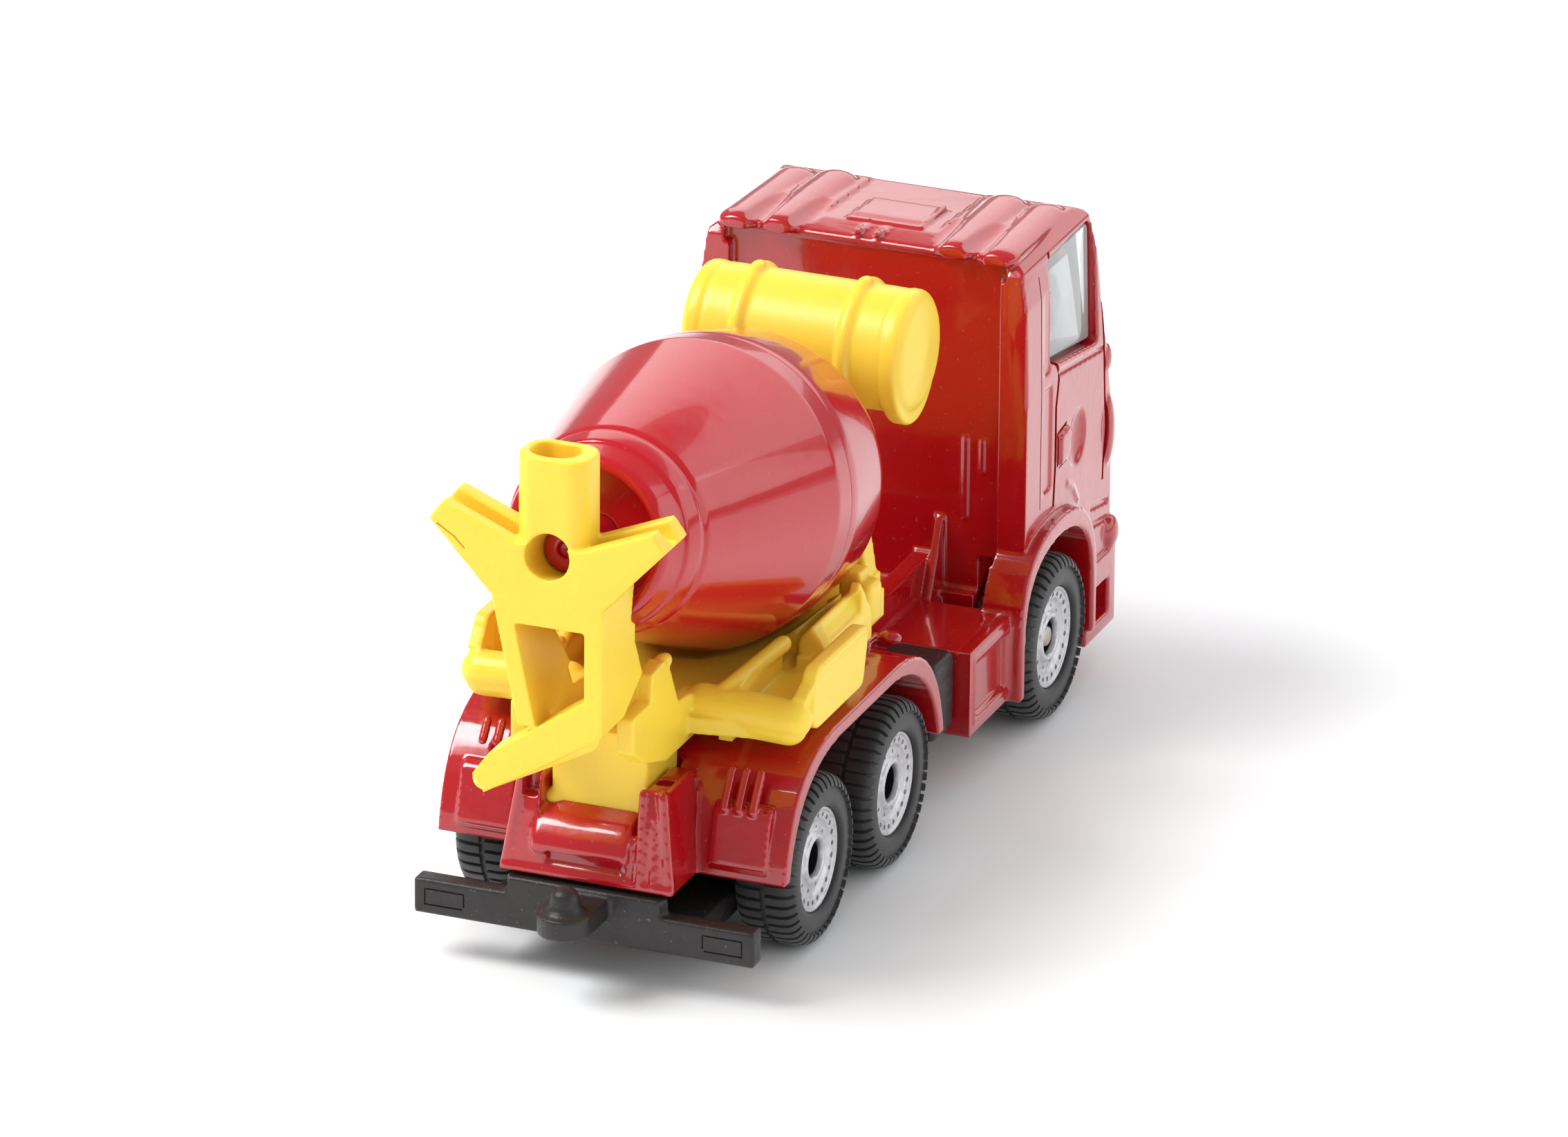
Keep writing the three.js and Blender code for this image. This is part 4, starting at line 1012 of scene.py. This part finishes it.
@dataclass(frozen=True)
class Casting:
    """The painted die-casting: cab, deck, lockers, mudguards and tail."""

    cab_rear: float = 40.2
    cab_front: float = 58.4
    half: float = 13.05
    top: float = 38.5
    rear_wall: float = 41.2
    roof_front: float = 54.5
    bed_top: float = 16.3
    tail_rear: float = -13.0
    roof_fall: float = 0.95
    humps: tuple[tuple[float, float, float], ...] = ((10.3, 1.6, 0.22), (7.0, 1.7, 0.0))
    valleys: tuple[float, float] = (8.7, 5.1)
    rib_depth: float = 0.36

    def stock(self) -> bmesh.types.BMesh:
        """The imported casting, with the roof planed to fall gently towards the front."""
        low, top = self.top - self.roof_fall, self.top
        lip, screen = self.cab_rear + 1.0, self.roof_front + 3
        above = [(lip, top), (self.roof_front, low), (screen, low), (screen, top + 2), (lip, top + 2)]
        plane = slab(above, Plane.SIDE, -self.half - 1, self.half + 1)
        return combined(packed("body_casting"), removed=[plane])

    def roof(self) -> tuple[list[bmesh.types.BMesh], list[bmesh.types.BMesh]]:
        """Two humps on each side, a hatch with its stems, and the beaded rear lip."""
        rear, top = self.cab_rear, self.top
        far, fall = self.roof_front, self.roof_fall
        raised = [
            *seam([(43.5, 2.6), (43.5, -3.3), (48.7, -3.3)], Plane.FLOOR, top - 0.42, 0.42),
            *seam([(43.5, -0.7), (40.9, -0.7)], Plane.FLOOR, top - 0.38, 0.44),
            *seam([(43.5, 0.9), (40.9, 0.9)], Plane.FLOOR, top - 0.38, 0.44),
        ]
        for y, wide, drop in self.humps:
            back = (rear + 1.1, y, top - 0.42 - drop)
            ahead = (51.4, y * 0.97, top - 1.05 - drop)
            raised += both(capsule(back, ahead, wide, 0.74))
        hatch = slab([(43.6, 2.6), (43.6, -3.3), (48.7, -3.3), (48.7, 2.6)],
                     Plane.FLOOR, top - 2, top + 2)
        panel = slab([(rear + 1.3, top - 0.34), (far, top - fall - 0.3), (far, top + 1),
                      (rear + 1.3, top + 1)], Plane.SIDE, -4.6, 4.6)
        cuts = [combined(panel, removed=[hatch])]
        for y in self.valleys:
            cuts += both(ball((rear - 0.2, y, top + 0.42), (10.0, 1.2, 1.1), 40))
            cuts += both(ball((rear - 0.3, y, top - 0.5), (0.75, 0.75, 1.5)))
        cuts.append(brick((rear - 3, rear - 0.1, -13.5, 13.5, top - 3, top + 3)))
        cuts.append(brick((rear - 1, self.rear_wall, -11.2, 11.2, top - 2.4, top - 1.25)))
        return raised, cuts

    def side(self) -> tuple[list[bmesh.types.BMesh], list[bmesh.types.BMesh]]:
        """The door, its seams and handle, the window frame and the front corner, on the left."""
        y = self.half
        raised = [
            slab([(46.9, 19.6, 0.2), (48.5, 19.7, 0.2), (49.4, 21.1, 0.2), (48.6, 22.2, 0.2),
                  (46.9, 21.9, 0.2)], Plane.SIDE, y - 1.2, y + 0.34, 0.1),
            ball((57.5, y - 0.25, 18.6), (1.05, 0.75, 3.1)),
            ball((57.3, y - 0.25, 24.4), (0.8, 0.5, 1.2)),
            ball((58.3, y - 0.1, 10.0), (1.3, 0.75, 1.4)),
            *seam([(48.9, 17.4), (50.2, 16.6), (51.2, 15.2)], Plane.SIDE, y - 0.12, 0.55),
        ]
        cuts = [
            slab([(45.6, 28.0, 0.4), (55.1, 26.5, 0.6), (54.3, 36.5, 0.8), (45.6, 36.4, 0.5)],
                 Plane.SIDE, y - 2.6, y + 3, 0.0),
            ball((50.9, y + 0.6, 20.4), (2.2, 1.15, 2.7), 32),
            slab([(43.7, 18.2, 0.5), (45.5, 18.2, 0.5), (45.5, 26.6, 0.5), (43.7, 26.6, 0.5)],
                 Plane.SIDE, y - 0.18, y + 2, 0.0),
            slab([(43.7, 27.6, 0.5), (45.2, 27.6, 0.5), (45.0, 35.8, 0.5), (43.7, 35.8, 0.5)],
                 Plane.SIDE, y - 0.18, y + 2, 0.0),
            *seam([(46.9, 26.9), (56.0, 25.6)], Plane.SIDE, y + 0.02, 0.5),
            *seam([(54.2, 13.4), (57.6, 12.8)], Plane.SIDE, y + 0.05, 0.6),
            *seam([(54.2, 11.9), (57.6, 11.4)], Plane.SIDE, y + 0.05, 0.6),
        ]
        return raised, cuts

    def seams(self) -> list[bmesh.types.BMesh]:
        """The crisp gaps round the door and its handle, and the cab's rear fold, on the left."""
        low, high = self.half - 0.7, self.half + 1.5
        paths = [
            [(45.5, 36.9), (45.9, 28.6), (46.9, 26.9), (46.3, 24.4), (46.3, 19.6), (46.0, 16.6)],
            [(54.9, 36.5), (56.3, 26.2), (56.8, 20.4), (56.5, 14.9)],
            [(43.2, 35.8), (43.2, 17.4)],
        ]
        gaps = [
            groove(path, Plane.SIDE, low, high, wide) for path, wide in zip(paths, (0.42, 0.34, 0.16))
        ]
        handle = (
            [(46.72, 19.5), (46.72, 22.15), (48.6, 22.45)],
            [(47.1, 19.3), (48.6, 19.4), (49.65, 21.1)],
        )
        for path in handle:
            gaps.append(groove(path, Plane.SIDE, self.half - 0.3, high, 0.16))
        return gaps

    def rear_wall_parts(self) -> list[bmesh.types.BMesh]:
        """The soft upright ribs of the cab's rear wall and the ribs on the deck before it."""
        x = self.rear_wall
        return [
            *both(capsule((x + 0.12, 7.9, 16.8), (x + 0.12, 7.9, 23.0), 0.3, 0.3)),
            *both(capsule((x + 0.14, 9.2, 20.6), (x + 0.14, 9.2, 23.0), 0.28, 0.28)),
            *both(slab([(38.0, 10.0), (41.6, 10.0), (41.6, 16.6), (40.9, 16.6)],
                       Plane.SIDE, 5.6, 6.3, 0.15)),
        ]

    def front(self) -> tuple[list[bmesh.types.BMesh], list[bmesh.types.BMesh]]:
        """Grille, wipers, lamps and bumper: the usual ones, because this face isn't seen."""
        x = self.cab_front
        raised = [
            *both(brick((x + 0.2, x + 1.15, 8.2, 12.0, 6.2, 9.0), 0.35)),
            *both(brick((x - 0.8, x + 0.2, 8.6, 12.2, 11.4, 13.4), 0.3)),
            brick((x - 0.9, x + 0.35, -7.0, 7.0, 11.2, 12.0), 0.2),
            *both(bar((x - 0.9, 2.0, 26.0), (x - 1.7, 8.6, 27.6), 0.28)),
        ]
        cuts = [brick((x - 0.45, x + 3, -6.6, 6.6, z, z + 1.0), 0.15) for z in (13.2, 15.2, 17.2, 19.2)]
        cuts += [brick((x + 0.5, x + 3, -6.4, 6.4, z, z + 0.8), 0.1) for z in (5.8, 7.6)]
        return raised, cuts

    def bed(self) -> tuple[list[bmesh.types.BMesh], list[bmesh.types.BMesh]]:
        """Folds of the mudguards, the edge beads, the locker panels and the bed's fittings."""
        raised = [
            *[bar((-5.5, y, 15.5), (-6.4, y, 14.3), self.rib_depth) for y in (8.5, 9.6, 10.7)],
            *[bar((-5.9, -y, 15.0), (-7.5, -y, 12.7), self.rib_depth) for y in (8.4, 9.5, 10.6)],
            *both(slab([(-8.62, 8.4, 0.4), (-7.5, 8.4), (-6.6, 12.9), (-7.5, 12.8, 0.6)],
                       Plane.SIDE, 7.6, 12.0, 0.5)),
            *both(ball((18.6, 10.8, self.bed_top - 0.1), (0.75, 0.9, 0.5))),
            *both(brick((16.4, 18.4, 9.6, 10.0, self.bed_top - 0.3, self.bed_top + 0.3), 0.12)),
        ]
        frame_low = [
            *seam([(30.4, 5.2), (37.3, 5.2), (37.3, 10.2), (30.4, 10.2), (30.4, 5.2)],
                  Plane.SIDE, 12.85, 0.42),
        ]
        raised += both(gathered(frame_low))
        cuts = [
            *both(gathered(seam([(29.0, 10.95), (38.6, 10.95)], Plane.SIDE, 11.9, 0.3))),
        ]
        return raised, cuts

    def tail(self) -> tuple[list[bmesh.types.BMesh], list[bmesh.types.BMesh]]:
        """The boxed recesses and the shelf of the tail, with its upright folds."""
        x = self.tail_rear
        raised = [
            slab([(x - 0.35, 9.6, 0.4), (x - 0.1, 10.7, 0.5), (x + 0.9, 11.9, 0.6), (x + 3.4, 12.9),
                  (x + 3.4, 9.0), (x + 0.6, 9.0)], Plane.SIDE, -3.3, 4.3, 0.5),
            bar((x + 0.3, -4.0, 8.2), (x + 1.5, -3.9, 14.6), 0.36),
            bar((x + 0.3, -5.1, 8.2), (x + 1.3, -4.9, 13.0), 0.3),
            *both(bar((x + 0.45, 6.3, 7.9), (x + 1.4, 5.4, 14.6), 0.42)),
            brick((x - 0.05, x + 1.0, -6.6, 6.6, 7.6, 8.2), 0.25),
        ]
        cuts = [
            brick((x + 0.9, x + 2.5, 4.2, 5.25, 13.1, 16), 0.15),
            *both(brick((x + 3.0, -8.7, 4.1, 5.2, 14.0, 17), 0.15)),
            brick((x - 0.4, x + 0.5, -2.9, 3.1, 8.5, 9.7), 0.3),
        ]
        return raised, cuts

    def build(self, shop: Workshop) -> None:
        """Makes the casting."""
        raised = [self.stock(), *self.rear_wall_parts()]
        cuts: list[bmesh.types.BMesh] = []
        for more, less in (self.roof(), self.front(), self.bed(), self.tail()):
            raised += more
            cuts += less
        more, less = self.side()
        for part in more:
            raised += both(part)
        for part in less:
            cuts += both(part)
        carved = [part for path in self.seams() for part in both(path)]
        body = softened(raised, cuts, voxel=0.15, rounds=4, limit=190_000, carved=carved)
        shop.piece("body_die_casting", body, RED_PAINT, Body.TRUCK, ["body_casting"], sharp=55)


# ---------------------------------------------------------------- base, glazing and interior


@dataclass(frozen=True)
class Base:
    """The black base: chassis floor, axle bearings, side tanks, bumper and hitch."""

    bumper_rear: float = -13.4
    hitch_x: float = -16.7
    ribs: tuple[float, ...] = (3.5, 6.0, 8.5, 20.0, 24.0, 28.0, 35.0)

    def build(self, shop: Workshop) -> None:
        """Makes the base."""
        x = self.bumper_rear
        pin = turned(filleted([
            (0.0, 6.6), (1.45, 6.6), (1.45, 7.1, 0.2), (1.2, 7.3, 0.1), (0.95, 8.6, 0.5), (0.0, 8.85),
        ]), Matrix.Translation((self.hitch_x, 0, 0)), 40)
        ridge = [
            bar((x + 0.2, -12.6, 5.9), (x + 0.2, 12.6, 5.9), 0.16),
            *both(bar((x + 0.9, 5.9, 6.2), (x + 0.9, 5.9, 7.0), 0.3)),
        ]
        ribs = [brick((rib, rib + 0.5, -4.6, 4.6, 2.75, 3.3), 0.1) for rib in self.ribs]
        plate = [(9.2, 4.3), (9.2, 5.3), (12.2, 5.3), (12.2, 4.1), (9.3, 4.1)]
        plate_line = groove(plate, Plane.CROSS, x - 1, x + 0.12, 0.13)
        tank_lines = both(gathered(seam([(25.0, 9.6), (29.6, 9.6)], Plane.SIDE, 11.85, 0.3)))
        tanks = both(brick((25.2, 29.45, 6.75, 11.8, 5.2, 11.3), 0.6))
        body = softened(
            [packed("base_plate"), pin, *ridge, *ribs, *tanks], tank_lines, voxel=0.16, rounds=3,
            limit=150_000, carved=both(plate_line),
        )
        shop.piece("base_moulding", body, BLACK_PLASTIC, Body.TRUCK, ["base_plate"], sharp=55)


@dataclass(frozen=True)
class CabInside:
    """The clear glazing and the black seats and dashboard behind it."""

    def build(self, shop: Workshop) -> None:
        """Makes both pieces."""
        pane = slab([(45.75, 28.2, 0.3), (54.95, 26.75, 0.5), (54.15, 36.3, 0.6), (45.75, 36.25, 0.4)],
                    Plane.SIDE, 10.9, 12.35, 0.15)
        glass = combined(packed("cab_glazing"), added=both(pane))
        shop.piece("cab_glazing_pane", glass, CLEAR_PLASTIC, Body.TRUCK, ["cab_glazing"], edge=0.12)
        seams = []
        for x in (44.5, 45.9):
            seams += both(gathered(path_bars([(x, 3.4, 21.2), (x, 7.6, 21.2)], 0.14)))
        inside = softened([packed("cab_interior")], seams, voxel=0.2, rounds=3, limit=60_000)
        shop.piece("cab_seats", inside, BLACK_PLASTIC, Body.TRUCK, ["cab_interior"], sharp=180)


# ---------------------------------------------------------------- studio


@dataclass(frozen=True)
class Studio:
    """The pale floor, the soft lights and the camera."""

    heading: float = math.radians(21.641)
    fall: float = math.radians(22.256)
    roll: float = math.radians(0.531)
    across: float = 9.378
    up: float = 24.873
    distance: float = 951.5
    lens: float = 302.9
    sky: tuple[float, float, float, float] = (0.97, 0.985, 1.0, 1.0)
    sky_diffuse: float = 0.7
    sky_glossy: float = 0.28
    floor_half: float = 3.0

    def camera(self) -> None:
        """A long lens that looks down on the rear right corner."""
        ahead = Vector((math.cos(self.heading) * math.cos(self.fall),
                        math.sin(self.heading) * math.cos(self.fall), -math.sin(self.fall)))
        level = Vector((math.sin(self.heading), -math.cos(self.heading), 0))
        upright = level.cross(ahead)
        c, s = math.cos(self.roll), math.sin(self.roll)
        right = c * level + s * upright
        top = -s * level + c * upright
        place = (self.across * right + self.up * top - self.distance * ahead) * MM
        place.x += REAR_AXLE_X
        lens = bpy.data.cameras.new("camera")
        lens.lens = self.lens
        lens.sensor_width = 36.0
        lens.clip_start = 0.05
        lens.clip_end = 20.0
        thing = bpy.data.objects.new("camera", lens)
        thing.matrix_world = Matrix((
            (right.x, top.x, -ahead.x, place.x),
            (right.y, top.y, -ahead.y, place.y),
            (right.z, top.z, -ahead.z, place.z),
            (0, 0, 0, 1),
        ))
        bpy.context.scene.collection.objects.link(thing)
        bpy.context.scene.camera = thing

    def light(self, name: str, place: Point2, size: Point2, power: float) -> None:
        """A soft rectangular light that faces the truck."""
        lamp = bpy.data.lights.new(name, "AREA")
        lamp.shape = "RECTANGLE"
        lamp.size, lamp.size_y = size
        lamp.energy = power
        thing = bpy.data.objects.new(name, lamp)
        at = Vector(place)
        aim = (Vector((0, 0, 0.015)) - at).to_track_quat("-Z", "Y")
        thing.matrix_world = Matrix.Translation(at) @ aim.to_matrix().to_4x4()
        bpy.context.scene.collection.objects.link(thing)

    def build(self) -> None:
        """Sets the floor, the lights, the surroundings and the camera."""
        bm = bmesh.new()
        bmesh.ops.create_grid(bm, x_segments=8, y_segments=8, size=self.floor_half)
        mesh = bpy.data.meshes.new("floor")
        bm.to_mesh(mesh)
        bm.free()
        floor = bpy.data.objects.new("floor", mesh)
        bpy.context.scene.collection.objects.link(floor)
        paper = Finish("paper", "", (0.93, 0.935, 0.94), (0.915, 0.92, 0.925), roughness=0.6,
                       specular=0.3, patch_mm=200, wave_mm=30, wave=0.02, grain_mm=2, grain=0.02)
        mesh.materials.append(paper.build())
        world = bpy.data.worlds.new("studio")
        world.use_nodes = True
        nodes, links = world.node_tree.nodes, world.node_tree.links
        nodes["Background"].inputs["Color"].default_value = self.sky
        ray = nodes.new("ShaderNodeLightPath")
        level = nodes.new("ShaderNodeMapRange")
        level.inputs["To Min"].default_value = self.sky_diffuse
        level.inputs["To Max"].default_value = self.sky_glossy
        links.new(ray.outputs["Is Glossy Ray"], level.inputs["Value"])
        links.new(level.outputs["Result"], nodes["Background"].inputs["Strength"])
        bpy.context.scene.world = world
        self.light("front_bank", (0.55, -0.05, 0.30), (0.9, 0.3), 1.0)
        self.light("right_bank", (0.12, -0.6, 0.22), (0.8, 0.3), 1.0)
        self.light("top_key", (-0.25, 0.42, 0.62), (0.4, 0.4), 5.6)
        bpy.context.scene.view_settings.view_transform = "Standard"
        self.camera()


# ---------------------------------------------------------------- assembly


def main() -> None:
    logging.basicConfig(level=logging.INFO, format="%(name)s %(message)s")
    shop = Workshop()
    Studio().build()
    for wheels in (
        Wheelset("rear", Body.REAR_WHEELS, 0.0, 10.85, 1.6),
        Wheelset("middle", Body.MIDDLE_WHEELS, 14.95, 10.85, 1.6),
        Wheelset("front", Body.FRONT_WHEELS, 45.4, 11.6, 0.2),
    ):
        wheels.build(shop)
    Drum().build(shop)
    Tank().build(shop)
    Tower().build(shop)
    Cradle().build(shop)
    Casting().build(shop)
    Base().build(shop)
    CabInside().build(shop)
    LOG.info("%d faces in all", shop.triangles)


if __name__ == "__main__":
    main()
